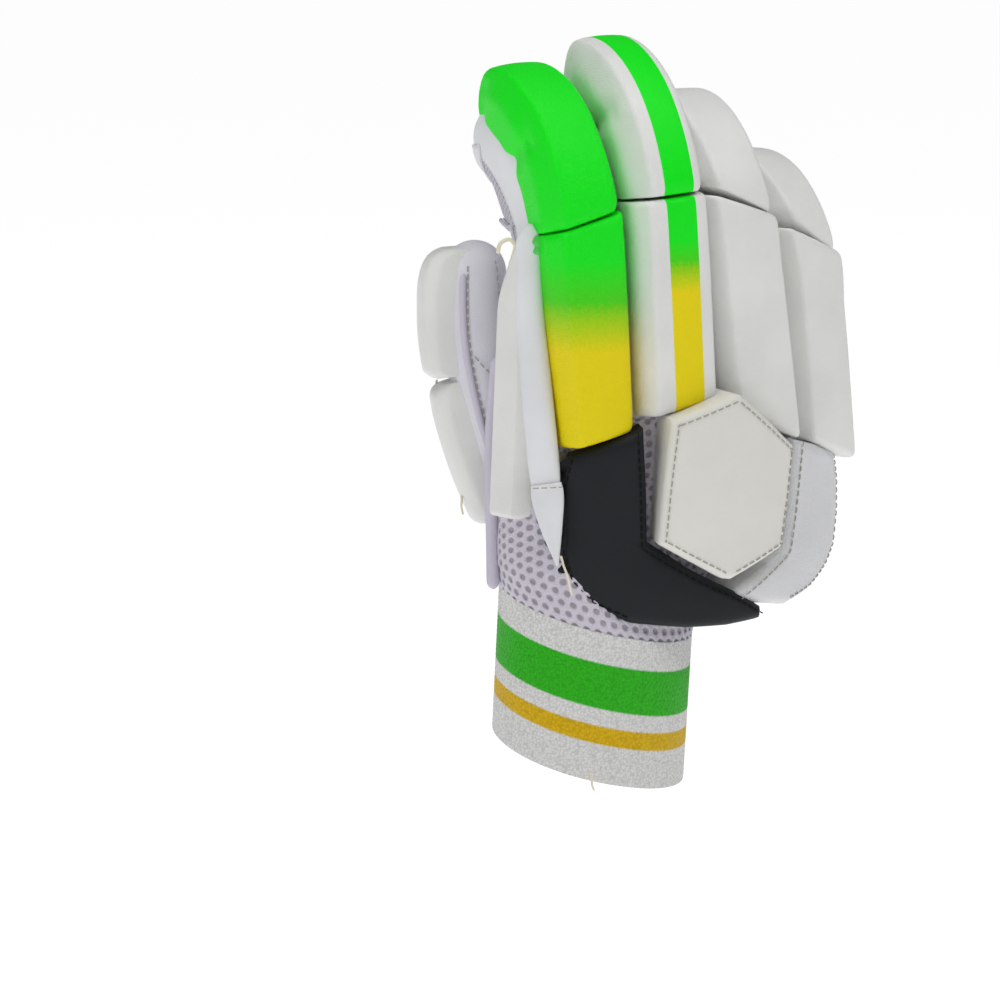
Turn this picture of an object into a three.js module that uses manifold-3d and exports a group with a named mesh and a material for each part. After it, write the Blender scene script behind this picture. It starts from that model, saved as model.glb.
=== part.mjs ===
import * as THREE from 'three';
import Module from 'manifold-3d';

const wasm = await Module();
wasm.setup();

// Sizes in millimetres: up is +Z, the back of the hand faces -Y, the little finger's side is +X
// The origin is the centre of the cuff's mouth
const CUFF_WIDTH = 78;
const CUFF_DEPTH = 64;
const CUFF_LENGTH = 60;
const CUFF_WALL = 3.2;
const CUFF_SLANT = 14;
const CUFF_LEAN = 3;
const CUFF_DROP = 10;
const HAND_WIDTH = 126;
const HAND_DEPTH = 46;
const HAND_LENGTH = 132;
const SHELL_WALL = 2;
const FINGER_LENGTH = 52;
const FINGER_WIDTH = 31;
const FINGER_DEPTH = 29;
const THUMB_LENGTH = 150;
const THUMB_WIDTH = 33;
const THUMB_DEPTH = 28;
const PAD_WIDTH = 34;
const PAD_THICKNESS = 18;
const PAD_BEVEL = 5;
const THUMB_PAD_BEVEL = 3.5;
const JOINT_CREASE = 2;
const THUMB_PAD_WIDTH = 28;
const THUMB_PAD_THICKNESS = 9;
const BACK_RADIUS = 88;
const BACK_DEPTH = 26;
const BACK_PAD_HEIGHT = 12;
const BACK_PAD_ROOT = 14;
const BACK_PAD_BEVEL = 3.5;
const HEXAGON_WIDTH = 62;
const HEXAGON_LENGTH = 73;
const HEXAGON_HEIGHT = 17;
const FRILL_HEIGHT = 6;
const BAR_LENGTH = 106;
const BAR_WIDTH = 22;
const BAR_THICKNESS = 8;
const BAR_BEVEL = 4;
const BAR_FACING = 66;
const TONGUE_WIDTH = 21;
const STRAP_THICKNESS = 3.2;
const STRIPE_THICKNESS = 1.2;
const ANCHOR_WIDTH = 18;
const ANCHOR_THICKNESS = 3;
const SEAM_GAP = 0.35;

const HAND_SIDES = 18;
const FINGER_SIDES = 10;
const CUFF_SQUARENESS = 0.95;
const FINGER_SQUARENESS = 0.8;
const TIP_SQUARENESS = 0.85;
const FAR = 3 * (CUFF_LENGTH + HAND_LENGTH);

// One row per finger: its joint's place in shares of the hand's sizes, where knuckle and tip face,
// its lean, the bends at joint and tip, the slants of the pads' ends (all in degrees), then shares
const FINGERS = [
  { name: 'index', side: -0.092, depth: 0.06, up: 1.127, face: -3, tipFace: 1, lean: 4.6, first: 11, last: 95,
    jointSlant: 6, baseSlant: 9, length: 1.05, wide: 1.06, web: 0.93, padWide: 0.95, spread: 0.95,
    knuckle: 0.575, tongue: 0.52 },
  { name: 'middle', side: 0.155, depth: -0.065, up: 1.232, face: 0, tipFace: -2, lean: 4, first: 10, last: 92,
    jointSlant: 1, baseSlant: 8, length: 1.02, wide: 0.965, web: 0.93, padWide: 0.94, spread: 1.08,
    knuckle: 0.6, tongue: 0.55 },
  { name: 'ring', side: 0.382, depth: -0.026, up: 1.175, face: 7, tipFace: -10, lean: 8.8, first: 22, last: 112,
    jointSlant: -28, baseSlant: -35, length: 0.76, wide: 0.91, web: 0.88, padWide: 0.97, spread: 1.08,
    knuckle: 0.625, tongue: 0.55 },
  { name: 'little', side: 0.64, depth: 0.16, up: 1.03, face: 18, tipFace: -6, lean: 9, first: 34, last: 122,
    jointSlant: -35, baseSlant: -31, length: 0.68, wide: 0.83, web: 0.79, padWide: 0.91, spread: 1.04,
    knuckle: 0.6, tongue: 0.5 },
];

// The hand's rows from the cuff up: sides are shares of its width, back and palm of its depth
const HAND_ROWS = [
  { up: 0.1, left: -0.3, right: 0.37, back: -0.62, palm: 0.64, slant: 0.9, square: 0.95 },
  { up: 0.24, left: -0.3, right: 0.56, back: -0.57, palm: 0.6, slant: 0.6, square: 1.06 },
  { up: 0.42, left: -0.265, right: 0.7, back: -0.53, palm: 0.54, slant: 0.3, square: 1.02 },
  { up: 0.68, left: -0.225, right: 0.79, back: -0.46, palm: 0.46, slant: 0.3, square: 0.9 },
  { up: 0.86, left: -0.205, right: 0.8, back: -0.37, palm: 0.39, slant: 0.45, square: 0.82 },
  { up: 0.95, left: -0.19, right: 0.77, back: -0.28, palm: 0.33, slant: 0.55, square: 0.8 },
];

// The thumb's rows from its root up: places are shares of the hand's width and depth
const THUMB_ROWS = [
  { up: 0, side: 0.02, depth: 0.15, scale: 0.72 },
  { up: 0.13, side: -0.05, depth: 0.4, scale: 0.92 },
  { up: 0.33, side: -0.15, depth: 0.64, scale: 1 },
  { up: 0.57, side: -0.225, depth: 0.78, scale: 1 },
  { up: 0.77, side: -0.25, depth: 0.86, scale: 0.96 },
  { up: 0.88, side: -0.248, depth: 0.89, scale: 0.82 },
  { up: 0.94, side: -0.245, depth: 0.905, scale: 0.52 },
];

// Rows across the pads on the back of the hand: shares of the hand's width and length
const BACK_SIDE = 0.27;
const PADS_MIDDLE = { side: 0.03, up: 0 };
const GUARD_ROWS = [
  { left: -0.468, leftUp: 0.505, right: -0.25, rightUp: 0.582 },
  { left: -0.476, leftUp: 0.415, right: -0.239, rightUp: 0.405 },
  { left: -0.472, leftUp: 0.31, right: -0.234, rightUp: 0.24 },
  { left: -0.452, leftUp: 0.207, right: -0.067, rightUp: 0.14 },
  { left: -0.412, leftUp: 0.133, right: 0.092, rightUp: 0.063 },
  { left: -0.345, leftUp: 0.065, right: 0.177, rightUp: 0.014 },
  { left: -0.254, leftUp: 0.013, right: 0.172, rightUp: -0.024 },
  { left: -0.098, leftUp: -0.018, right: 0.04, rightUp: -0.028 },
];
const OUTER_ROWS = [
  { left: 0.325, leftUp: 0.502, right: 0.6, rightUp: 0.43 },
  { left: 0.31, leftUp: 0.39, right: 0.65, rightUp: 0.34 },
  { left: 0.295, leftUp: 0.29, right: 0.66, rightUp: 0.23 },
  { left: 0.272, leftUp: 0.178, right: 0.62, rightUp: 0.12 },
  { left: 0.17, leftUp: 0.122, right: 0.525, rightUp: 0.063 },
  { left: 0.066, leftUp: 0.069, right: 0.413, rightUp: 0.022 },
  { left: 0.152, leftUp: 0.026, right: 0.285, rightUp: 0 },
];
// Rows of the hexagon: shares of its own width and length, from its middle
const HEXAGON_MIDDLE = { side: 0.055, up: 0.4 };
const HEXAGON_ROWS = [
  { left: 0.01, leftUp: 0.5, right: 0.06, rightUp: 0.49 },
  { left: -0.42, leftUp: 0.385, right: 0.29, rightUp: 0.33 },
  { left: -0.445, leftUp: 0.22, right: 0.51, rightUp: 0.177 },
  { left: -0.47, leftUp: 0.02, right: 0.475, rightUp: -0.08 },
  { left: -0.5, leftUp: -0.276, right: 0.42, rightUp: -0.367 },
  { left: -0.27, leftUp: -0.39, right: 0.22, rightUp: -0.43 },
  { left: -0.06, leftUp: -0.49, right: 0, rightUp: -0.5 },
];
// Rows along a finger's pads, from the joint outwards: shares of the pad's length, thickness and width
const KNUCKLE_ROWS = [
  { along: 0, rise: 0.7, wide: 0.93 },
  { along: 0.05, rise: 0.96, wide: 0.98 },
  { along: 0.2, rise: 1, wide: 1 },
  { along: 0.8, rise: 0.96, wide: 0.97 },
  { along: 0.95, rise: 0.9, wide: 0.95 },
  { along: 1, rise: 0.62, wide: 0.9 },
];
const TIP_ROWS = [
  { along: 0, rise: 0.7, wide: 0.95 },
  { along: 0.08, rise: 0.97, wide: 1 },
  { along: 0.35, rise: 1, wide: 1 },
  { along: 0.62, rise: 0.94, wide: 0.97 },
  { along: 0.86, rise: 0.82, wide: 0.9 },
  { along: 1, rise: 0.66, wide: 0.82 },
  { along: 1.06, rise: 0.34, wide: 0.74 },
];
// The strap's rows over the palm side of the cuff: shares of the cuff's width and length
const STRAP_ROWS = [
  { side: -0.34, low: 0.1, high: 0.16 },
  { side: -0.3, low: 0.1, high: 0.42 },
  { side: -0.22, low: 0.1, high: 0.64 },
  { side: 0.62, low: 0.12, high: 0.9 },
];
const GREEN_ROWS = [
  { side: 0.2, low: 0.42, high: 0.74 },
  { side: 0.58, low: 0.42, high: 0.83 },
];
const YELLOW_ROWS = [
  { side: 0.26, low: 0.25, high: 0.35 },
  { side: 0.58, low: 0.25, high: 0.35 },
];

// The folded anchor at the strap's end: shares of the hand's width and length
const ANCHOR_ROWS = [
  { side: 0.58, up: 0.3 },
  { side: 0.535, up: 0.2 },
  { side: 0.46, up: 0.1 },
  { side: 0.4, up: 0 },
  { side: 0.37, up: -0.1 },
];
// The palm leather's outline seen from the palm, bottom to top: shares of the hand's width and length
const PALM_ROWS = [
  { left: -0.5, right: 0.6, up: 0.02, slant: 1 },
  { left: -0.5, right: 0.66, up: 0.3, slant: 0 },
  { left: -0.5, right: 0.7, up: 0.6, slant: 0 },
  { left: -0.5, right: 0.69, up: 1.2, slant: 0 },
];
// The frill runs beside the guard's outer edge
const FRILL_SHARE = 0.055;
const FRILL_ROWS = GUARD_ROWS.slice(0, 6).map((row) => ({
  left: row.left - FRILL_SHARE, leftUp: row.leftUp - 0.02, right: row.left, rightUp: row.leftUp - 0.01,
}));
// Rows along a thumb pad and along the side bar: shares of length, thickness and width
const THUMB_PAD_ROWS = [
  { along: 0, rise: 0.6, wide: 0.9 },
  { along: 0.08, rise: 0.95, wide: 1 },
  { along: 0.5, rise: 1, wide: 1 },
  { along: 0.9, rise: 0.92, wide: 0.94 },
  { along: 1, rise: 0.55, wide: 0.85 },
];
const BAR_ROWS = [
  { along: 0, rise: 0.6 },
  { along: 0.03, rise: 1 },
  { along: 0.97, rise: 1 },
  { along: 1, rise: 0.6 },
];
// The end of a finger past its last ring: shares of the finger's width, then of its section
const FINGER_CAP = [
  { past: 0.16, scale: 0.88 },
  { past: 0.3, scale: 0.5 },
];
// Seams: the wrist's mesh and the heel leather end at this share of the hand's length, and the outer
// side's mesh begins at this share of its width; the thumb's two halves meet at a share of its width
const WRIST_SHARE = 0.34;
const OUTER_SHARE = 0.55;
const THUMB_SHARE = 0.1;
const THUMB_CUT = 0.24;
const FINGER_ROOT = 0.9;
// Bodies that only cut others reach past the ends of what they cut: shares of the finger's tip part and
// of the cuff
const SLEEVE_REACH = 1.3;
const CUFF_REACH = 0.1;

// Where the rings of a bent finger lie, as shares of its tip part's length
const BEND_STEPS = [-0.25, 0.25, 0.5, 0.75, 1];

const radians = (value) => value * Math.PI / 180;
const slantSlope = Math.tan(radians(CUFF_SLANT));
const leanSlope = Math.tan(radians(CUFF_LEAN));
const dropSlope = Math.tan(radians(CUFF_DROP));

function point(x, y, z) {
  return new THREE.Vector3(x, y, z);
}

function bodyOf(corners, faces) {
  let volume = 0;
  for (const [a, b, c] of faces) {
    volume += corners[a].dot(corners[b].clone().cross(corners[c]));
  }
  const turned = volume < 0 ? faces.map(([a, b, c]) => [a, c, b]) : faces;
  return new wasm.Manifold(new wasm.Mesh({
    numProp: 3,
    vertProperties: new Float32Array(corners.flatMap((corner) => corner.toArray())),
    triVerts: new Uint32Array(turned.flat()),
  }));
}

// A closed body through rings of as many corners each; the ends are filled corner to opposite corner
function loft(rings) {
  const count = rings[0].length;
  const last = (rings.length - 1) * count;
  const faces = [];
  for (let ring = 0; ring < last; ring += count) {
    for (let corner = 0; corner < count; corner += 1) {
      const here = ring + corner;
      const next = ring + (corner + 1) % count;
      faces.push([here, next, next + count], [here, next + count, here + count]);
    }
  }
  for (let corner = 0; corner + 1 < count / 2; corner += 1) {
    const far = count - 1 - corner;
    faces.push([corner, far, corner + 1], [corner + 1, far, far - 1]);
    faces.push([last + corner, last + corner + 1, last + far]);
    faces.push([last + corner + 1, last + far - 1, last + far]);
  }
  return bodyOf(rings.flat(), faces);
}

function offset(place, across, out) {
  return place.centre.clone().addScaledVector(place.across, across).addScaledVector(place.out, out);
}

// A rounded ring; a squareness under 1 fills its corners more
function ovalRing(place, halfWidth, halfDepth, sides, squareness) {
  const ring = [];
  for (let side = 0; side < sides; side += 1) {
    const angle = 2 * Math.PI * (side + 0.5) / sides;
    const wide = Math.sign(Math.cos(angle)) * Math.abs(Math.cos(angle)) ** squareness;
    const deep = Math.sign(Math.sin(angle)) * Math.abs(Math.sin(angle)) ** squareness;
    ring.push(offset(place, halfWidth * wide, halfDepth * deep));
  }
  return ring;
}

function slabRing(place, left, right, low, high) {
  const corners = [[left, low], [right, low], [right, high], [left, high]];
  return corners.map(([across, out]) => offset(place, across, out));
}

// A pad's section: upright sides, two bevels and a flat face
function padRing(place, halfWidth, low, high, bevel, grow, slant = 0) {
  const profile = [
    [halfWidth + grow, low],
    [halfWidth + grow, high - 1.3 * bevel + grow],
    [halfWidth - 0.35 * bevel + grow, high - 0.4 * bevel + grow],
    [halfWidth - bevel, high + grow],
  ];
  const corners = [
    ...profile.map(([across, out]) => [-across, out]),
    ...profile.reverse(),
  ];
  return corners.map(([across, out]) => offset(place, across, out).addScaledVector(place.up, across * slant));
}

function cuffPlace(share) {
  const along = share * CUFF_LENGTH;
  const centre = point(along * leanSlope, 0, along);
  return { centre, across: point(1, 0, -slantSlope), out: point(0, -1, -dropSlope) };
}

function cuffBody(grow, from, to) {
  const rings = [];
  const steps = 4;
  for (let step = 0; step <= steps; step += 1) {
    const place = cuffPlace(from + (to - from) * step / steps);
    rings.push(ovalRing(place, CUFF_WIDTH / 2 + grow, CUFF_DEPTH / 2 + grow, HAND_SIDES, CUFF_SQUARENESS));
  }
  return loft(rings);
}

function handBody(grow) {
  const seam = cuffPlace(1 + SEAM_GAP / CUFF_LENGTH);
  seam.centre.z += Math.min(grow, 0);
  const rings = [ovalRing(seam, CUFF_WIDTH / 2 + grow, CUFF_DEPTH / 2 + grow, HAND_SIDES, CUFF_SQUARENESS)];
  for (const row of HAND_ROWS) {
    const left = row.left * HAND_WIDTH;
    const right = row.right * HAND_WIDTH;
    const back = row.back * HAND_DEPTH;
    const palm = row.palm * HAND_DEPTH;
    const slope = slantSlope * row.slant;
    const middle = (left + right) / 2;
    const height = CUFF_LENGTH + row.up * HAND_LENGTH - slope * middle;
    const place = {
      centre: point(middle, (back + palm) / 2, height),
      across: point(1, 0, -slope),
      out: point(0, -1, -dropSlope * Math.max(row.slant - 0.5, 0)),
    };
    rings.push(ovalRing(place, (right - left) / 2 + grow, (palm - back) / 2 + grow, HAND_SIDES,
      row.square));
  }
  for (const corner of rings[rings.length - 1]) {
    corner.z += grow;
  }
  return loft(rings);
}

// A finger's middle line at a length past its joint: the knuckle part is straight, the tip part bends
function fingerPlace(finger, along) {
  const facing = radians(along < 0 ? finger.face : finger.tipFace);
  const forward = point(Math.sin(facing), -Math.cos(facing), 0);
  const level = point(Math.cos(facing), Math.sin(facing), 0);
  const lean = radians(finger.lean);
  const up = point(0, 0, Math.cos(lean)).addScaledVector(level, -Math.sin(lean));
  const across = level.multiplyScalar(Math.cos(lean)).add(point(0, 0, Math.sin(lean)));
  const centre = point(
    finger.side * HAND_WIDTH,
    finger.depth * HAND_DEPTH,
    CUFF_LENGTH + finger.up * HAND_LENGTH,
  );
  if (along < 0) {
    return { centre: centre.addScaledVector(up, along), across, out: forward, up };
  }
  const length = finger.length * FINGER_LENGTH;
  const first = radians(finger.first);
  const turn = radians(finger.last - finger.first) / length;
  const bend = first + turn * along;
  centre.addScaledVector(up, (Math.sin(bend) - Math.sin(first)) / turn);
  centre.addScaledVector(forward, -(Math.cos(first) - Math.cos(bend)) / turn);
  const tilt = along === 0 ? first / 2 : bend;
  const onward = up.clone().multiplyScalar(Math.cos(tilt)).addScaledVector(forward, -Math.sin(tilt));
  const out = forward.clone().multiplyScalar(Math.cos(tilt)).addScaledVector(up, Math.sin(tilt));
  const twist = radians(finger.face - finger.tipFace) * Math.max(1 - along / length, 0);
  return {
    centre,
    across: across.applyAxisAngle(onward, twist),
    out: out.applyAxisAngle(onward, twist),
    up: onward,
  };
}

function fingerBody(finger, grow, from) {
  const length = finger.length * FINGER_LENGTH;
  const halfWidth = finger.wide * FINGER_WIDTH / 2 + grow;
  const halfDepth = finger.wide * FINGER_DEPTH / 2 + grow;
  const rings = [];
  for (const along of [from - grow, ...BEND_STEPS.map((share) => share * length)]) {
    rings.push(ovalRing(fingerPlace(finger, along), halfWidth, halfDepth, FINGER_SIDES, FINGER_SQUARENESS));
  }
  for (const { past, scale } of FINGER_CAP) {
    const place = fingerPlace(finger, length);
    place.centre.addScaledVector(place.up, past * FINGER_WIDTH + grow);
    rings.push(ovalRing(place, halfWidth * scale, halfDepth * scale, FINGER_SIDES, TIP_SQUARENESS));
  }
  return loft(rings);
}

function fingerSlab(finger, from, steps, halfWidth, low, high, grow) {
  const rings = [from, ...steps].map((share, index) => {
    const place = fingerPlace(finger, share * finger.length * FINGER_LENGTH);
    place.centre.addScaledVector(place.up, index === steps.length ? grow : 0);
    return slabRing(place, -halfWidth - grow, halfWidth + grow, low, high + grow);
  });
  return loft(rings);
}

function fingerPad(finger, rows, start, length, grow) {
  const surface = finger.wide * FINGER_DEPTH / 2;
  return loft(rows.map((row, index) => {
    const ends = index === 0 ? -1 : Number(index === rows.length - 1);
    const direction = Math.sign(length);
    const along = start + row.along * length + direction * ends * grow;
    const place = fingerPlace(finger, index === 0 ? 0 : along);
    if (index === 0) {
      place.centre.addScaledVector(place.up, along);
    }
    const spread = 1 + (finger.spread - 1) * row.along * Number(length < 0);
    const halfWidth = row.wide * spread * finger.padWide * PAD_WIDTH / 2;
    const farSlant = length < 0 ? finger.baseSlant : 0;
    const turned = finger.jointSlant + (farSlant - finger.jointSlant) * Math.min(row.along, 1);
    const slant = Math.tan(radians(turned));
    const high = surface + row.rise * PAD_THICKNESS;
    return padRing(place, halfWidth, 0.35 * surface, high, PAD_BEVEL * row.rise, grow, slant);
  }));
}

function knucklePad(finger, grow) {
  return fingerPad(finger, KNUCKLE_ROWS, -JOINT_CREASE / 2, -finger.knuckle * HAND_LENGTH, grow);
}

function tipPad(finger, grow) {
  return fingerPad(finger, TIP_ROWS, JOINT_CREASE / 2, finger.length * FINGER_LENGTH, grow);
}

// A place on the thumb's middle line, between its rows
function thumbPlace(share) {
  const next = Math.max(THUMB_ROWS.findIndex((row) => row.up >= share), 1);
  const [low, high] = [THUMB_ROWS[next - 1], THUMB_ROWS[next]];
  const part = (share - low.up) / (high.up - low.up);
  const placeOf = (row) => {
    const height = CUFF_LENGTH + row.up * THUMB_LENGTH;
    return point(row.side * HAND_WIDTH, row.depth * HAND_DEPTH, height);
  };
  const onward = placeOf(high).sub(placeOf(low)).normalize();
  const across = point(0.2, 1, 0).addScaledVector(onward, -onward.dot(point(0.2, 1, 0))).normalize();
  return {
    centre: placeOf(low).lerp(placeOf(high), part),
    scale: low.scale + (high.scale - low.scale) * part,
    across,
    out: onward.clone().cross(across).normalize(),
    up: onward,
  };
}

function thumbBody(grow) {
  return loft(THUMB_ROWS.map((row, index) => {
    const place = thumbPlace(row.up);
    place.centre.addScaledVector(place.up, index === THUMB_ROWS.length - 1 ? grow : 0);
    const halfWidth = row.scale * THUMB_WIDTH / 2 + grow;
    const halfDepth = row.scale * THUMB_DEPTH / 2 + grow;
    return ovalRing(place, halfWidth, halfDepth, FINGER_SIDES, TIP_SQUARENESS);
  }));
}

function thumbPad(from, to, grow) {
  return loft(THUMB_PAD_ROWS.map(({ along, rise, wide }) => {
    const place = thumbPlace(from + (to - from) * along);
    const surface = place.scale * THUMB_DEPTH / 2;
    const high = surface + rise * THUMB_PAD_THICKNESS;
    return padRing(place, wide * THUMB_PAD_WIDTH / 2, 0.3 * surface, high, THUMB_PAD_BEVEL * rise, grow);
  }));
}

// A pad bent over the back of the hand, from rows of a left and a right end; reach takes its face further out
function backPad(rows, width, length, middle, height, grow, reach = 0) {
  const bevel = BACK_PAD_BEVEL;
  const low = -BACK_PAD_ROOT;
  const centre = point(BACK_SIDE * HAND_WIDTH, BACK_RADIUS - BACK_DEPTH, 0);
  const rings = rows.map((row, index) => {
    const top = Number(index === 0);
    const bottom = Number(index === rows.length - 1);
    const rise = height + reach - (top + bottom) * bevel + grow;
    const base = CUFF_LENGTH + middle.up * HAND_LENGTH + (top - bottom) * grow;
    const up = (share) => base + share * length;
    const left = middle.side * HAND_WIDTH + row.left * width - grow;
    const right = middle.side * HAND_WIDTH + row.right * width + grow;
    const edge = Math.min(bevel, (right - left) / 3);
    const at = (arc, out) => {
      const part = (arc - left) / (right - left);
      const angle = arc / (BACK_RADIUS + height);
      const radius = BACK_RADIUS + out;
      return point(
        centre.x + radius * Math.sin(angle),
        centre.y - radius * Math.cos(angle),
        up(row.leftUp) * (1 - part) + up(row.rightUp) * part,
      );
    };
    const inner = [0, 0.25, 0.5, 0.75, 1].map((part) => left + edge + (right - left - 2 * edge) * part);
    return [
      at(left, low),
      at(left, rise - bevel),
      ...inner.map((arc) => at(arc, rise)),
      at(right, rise - bevel),
      at(right, low),
      ...inner.reverse().map((arc) => at(arc, low)),
    ];
  });
  return loft(rings.map((ring) => {
    const [first, ...rest] = ring;
    return [...rest, first];
  }));
}

function handPad(rows, grow, reach = 0) {
  return backPad(rows, HAND_WIDTH, HAND_LENGTH, PADS_MIDDLE, BACK_PAD_HEIGHT, grow, reach);
}

function hexagonBody(grow) {
  return backPad(HEXAGON_ROWS, HEXAGON_WIDTH, HEXAGON_LENGTH, HEXAGON_MIDDLE, HEXAGON_HEIGHT, grow);
}

// Everything above a height
function above(height) {
  const base = { centre: point(0, 0, height), across: point(1, 0, 0), out: point(0, 1, 0) };
  const top = { ...base, centre: point(0, 0, FAR) };
  return loft([base, top].map((place) => slabRing(place, -FAR, FAR, -FAR, FAR)));
}

// Everything on the little finger's side of a width
function slabFrom(side) {
  const base = { centre: point(FAR + side, 0, -FAR), across: point(1, 0, 0), out: point(0, 1, 0) };
  const top = { ...base, centre: point(FAR + side, 0, FAR) };
  return loft([base, top].map((place) => slabRing(place, -FAR, FAR, -FAR, FAR)));
}

// A slab seen from the palm, through rows of a side, a low and a high edge on the cuff
function cuffWindow(rows) {
  return loft(rows.map((row) => {
    const side = row.side * CUFF_WIDTH;
    const drop = -slantSlope * side;
    const low = row.low * CUFF_LENGTH + drop;
    const high = row.high * CUFF_LENGTH + drop;
    return [point(side, 0, low), point(side, FAR, low), point(side, FAR, high), point(side, 0, high)];
  }));
}

function largest(body) {
  const pieces = body.decompose();
  return pieces.reduce((best, piece) => (piece.volume() > best.volume() ? piece : best));
}

const webOf = (finger) => CUFF_LENGTH + finger.web * HAND_LENGTH;
const joined = (bodies) => bodies.reduce((sum, body) => sum.add(body));
const glove = (grow) => joined([
  handBody(grow),
  thumbBody(grow),
  ...FINGERS.map((finger) => fingerBody(finger, grow, -FINGER_ROOT * FINGER_LENGTH)),
]);
const freeFinger = (finger, grow) => (
  fingerBody(finger, grow, -FINGER_ROOT * FINGER_LENGTH).intersect(above(webOf(finger) - grow)));

const outside = glove(0);
const clearance = glove(SEAM_GAP);
const shell = outside.subtract(glove(-SHELL_WALL));

const palmWindow = (grow) => loft(PALM_ROWS.map((row) => {
  const height = CUFF_LENGTH + row.up * HAND_LENGTH;
  const drop = row.slant * slantSlope;
  const left = row.left * HAND_WIDTH - grow;
  const right = row.right * HAND_WIDTH + grow;
  const near = 0.12 * HAND_DEPTH - grow;
  const ends = -row.slant * grow;
  return [
    point(left, near, height - drop * left + ends),
    point(right, near, height - drop * right + ends),
    point(right, FAR, height - drop * right + ends),
    point(left, FAR, height - drop * left + ends),
  ];
}));
const tongueWindow = (finger, grow) => {
  const halfWidth = finger.wide * TONGUE_WIDTH / 2;
  const low = -finger.wide * FINGER_DEPTH / 2 - SHELL_WALL;
  return fingerSlab(finger, -1, [-0.25, 0.25, finger.tongue], halfWidth, low, -0.2 * FINGER_DEPTH, grow);
};

const fingersOut = joined(FINGERS.map((finger) => freeFinger(finger, SEAM_GAP)));
// The thumb's own part of the shell, above its root; the window is wider than the thumb
const thumbOut = (grow) => {
  const window = thumbBody(grow + SEAM_GAP);
  const rings = THUMB_ROWS.slice(1).map((row, index) => {
    const place = thumbPlace(index === 0 ? THUMB_CUT : row.up);
    place.centre.addScaledVector(place.up, index === THUMB_ROWS.length - 2 ? THUMB_WIDTH : 0);
    return slabRing(place, -THUMB_WIDTH, THUMB_WIDTH, -THUMB_DEPTH, 2 * THUMB_DEPTH);
  });
  return window.intersect(loft(rings));
};
const thumbShell = shell.intersect(thumbOut(0));
const handShell = shell.subtract(fingersOut).subtract(thumbOut(SEAM_GAP));

const palmRegion = joined([palmWindow(SEAM_GAP), ...FINGERS.map((finger) => tongueWindow(finger, SEAM_GAP))]);
const palm = handShell.intersect(palmWindow(0));
const back = handShell.subtract(palmRegion);
const wristSeam = CUFF_LENGTH + WRIST_SHARE * HAND_LENGTH;

const nodes = [];
function keep(name, body, colour) {
  nodes.push({ name, body: largest(body), colour });
}

const WHITE = '#e9e8e4';
const MESH = '#b9b4c2';
const GREEN = '#22d832';
const DARK = '#2b2e33';
const BLACK = '#141416';
const YELLOW = '#e8d41c';

const taken = [];
function fit(body) {
  return taken.reduce((rest, other) => rest.subtract(other), body);
}

const hexagonPad = hexagonBody(0).subtract(clearance);
taken.push(hexagonBody(SEAM_GAP));
for (const index of [1, 0, 2, 3]) {
  const finger = FINGERS[index];
  const knuckle = knucklePad(finger, 0).subtract(clearance);
  const tip = tipPad(finger, 0).subtract(clearance);
  keep(`${finger.name}_knuckle_pad`, fit(knuckle), index === 0 ? GREEN : WHITE);
  keep(`${finger.name}_tip_pad`, fit(tip), index === 0 ? GREEN : WHITE);
  taken.push(knucklePad(finger, SEAM_GAP), tipPad(finger, SEAM_GAP));
}
keep('hexagon_pad', hexagonPad, WHITE);
keep('hand_guard', fit(handPad(GUARD_ROWS, 0).subtract(clearance)), DARK);
taken.push(handPad(GUARD_ROWS, SEAM_GAP));
keep('outer_pad', fit(handPad(OUTER_ROWS, 0).subtract(clearance)), WHITE);
taken.push(handPad(OUTER_ROWS, SEAM_GAP));

// The frill is a strip of a skin grown from the hand, so it follows the hand's own surface
const frillSkin = handBody(FRILL_HEIGHT).subtract(clearance);
keep('guard_frill', fit(frillSkin.intersect(handPad(FRILL_ROWS, 0, BACK_RADIUS))), BLACK);

function sideBar(grow) {
  const top = point(-0.21 * HAND_WIDTH, 0.09 * HAND_DEPTH, CUFF_LENGTH + 1.1 * HAND_LENGTH);
  const base = point(-0.237 * HAND_WIDTH, 0.13 * HAND_DEPTH, top.z - BAR_LENGTH);
  const facing = radians(-BAR_FACING);
  return loft(BAR_ROWS.map(({ along, rise }) => {
    const place = {
      centre: top.clone().lerp(base, along),
      across: point(Math.cos(facing), Math.sin(facing), 0),
      out: point(Math.sin(facing), -Math.cos(facing), 0),
      up: point(0, 0, 1),
    };
    return padRing(place, BAR_WIDTH / 2, -BAR_THICKNESS, rise * BAR_THICKNESS, rise * BAR_BEVEL, grow);
  }));
}
keep('side_bar', fit(sideBar(0).subtract(clearance)), WHITE);
taken.push(sideBar(SEAM_GAP));

keep('palm_leather', palm.intersect(above(wristSeam + SEAM_GAP)), WHITE);
keep('heel_leather', palm.subtract(above(wristSeam)), WHITE);
const upperBack = back.intersect(above(wristSeam + SEAM_GAP));
const outerSeam = OUTER_SHARE * HAND_WIDTH;
keep('outer_side', upperBack.intersect(slabFrom(outerSeam)), MESH);
keep('hand_back', upperBack.subtract(slabFrom(outerSeam - SEAM_GAP)), MESH);
keep('wrist_mesh', back.subtract(above(wristSeam)), MESH);

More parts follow.
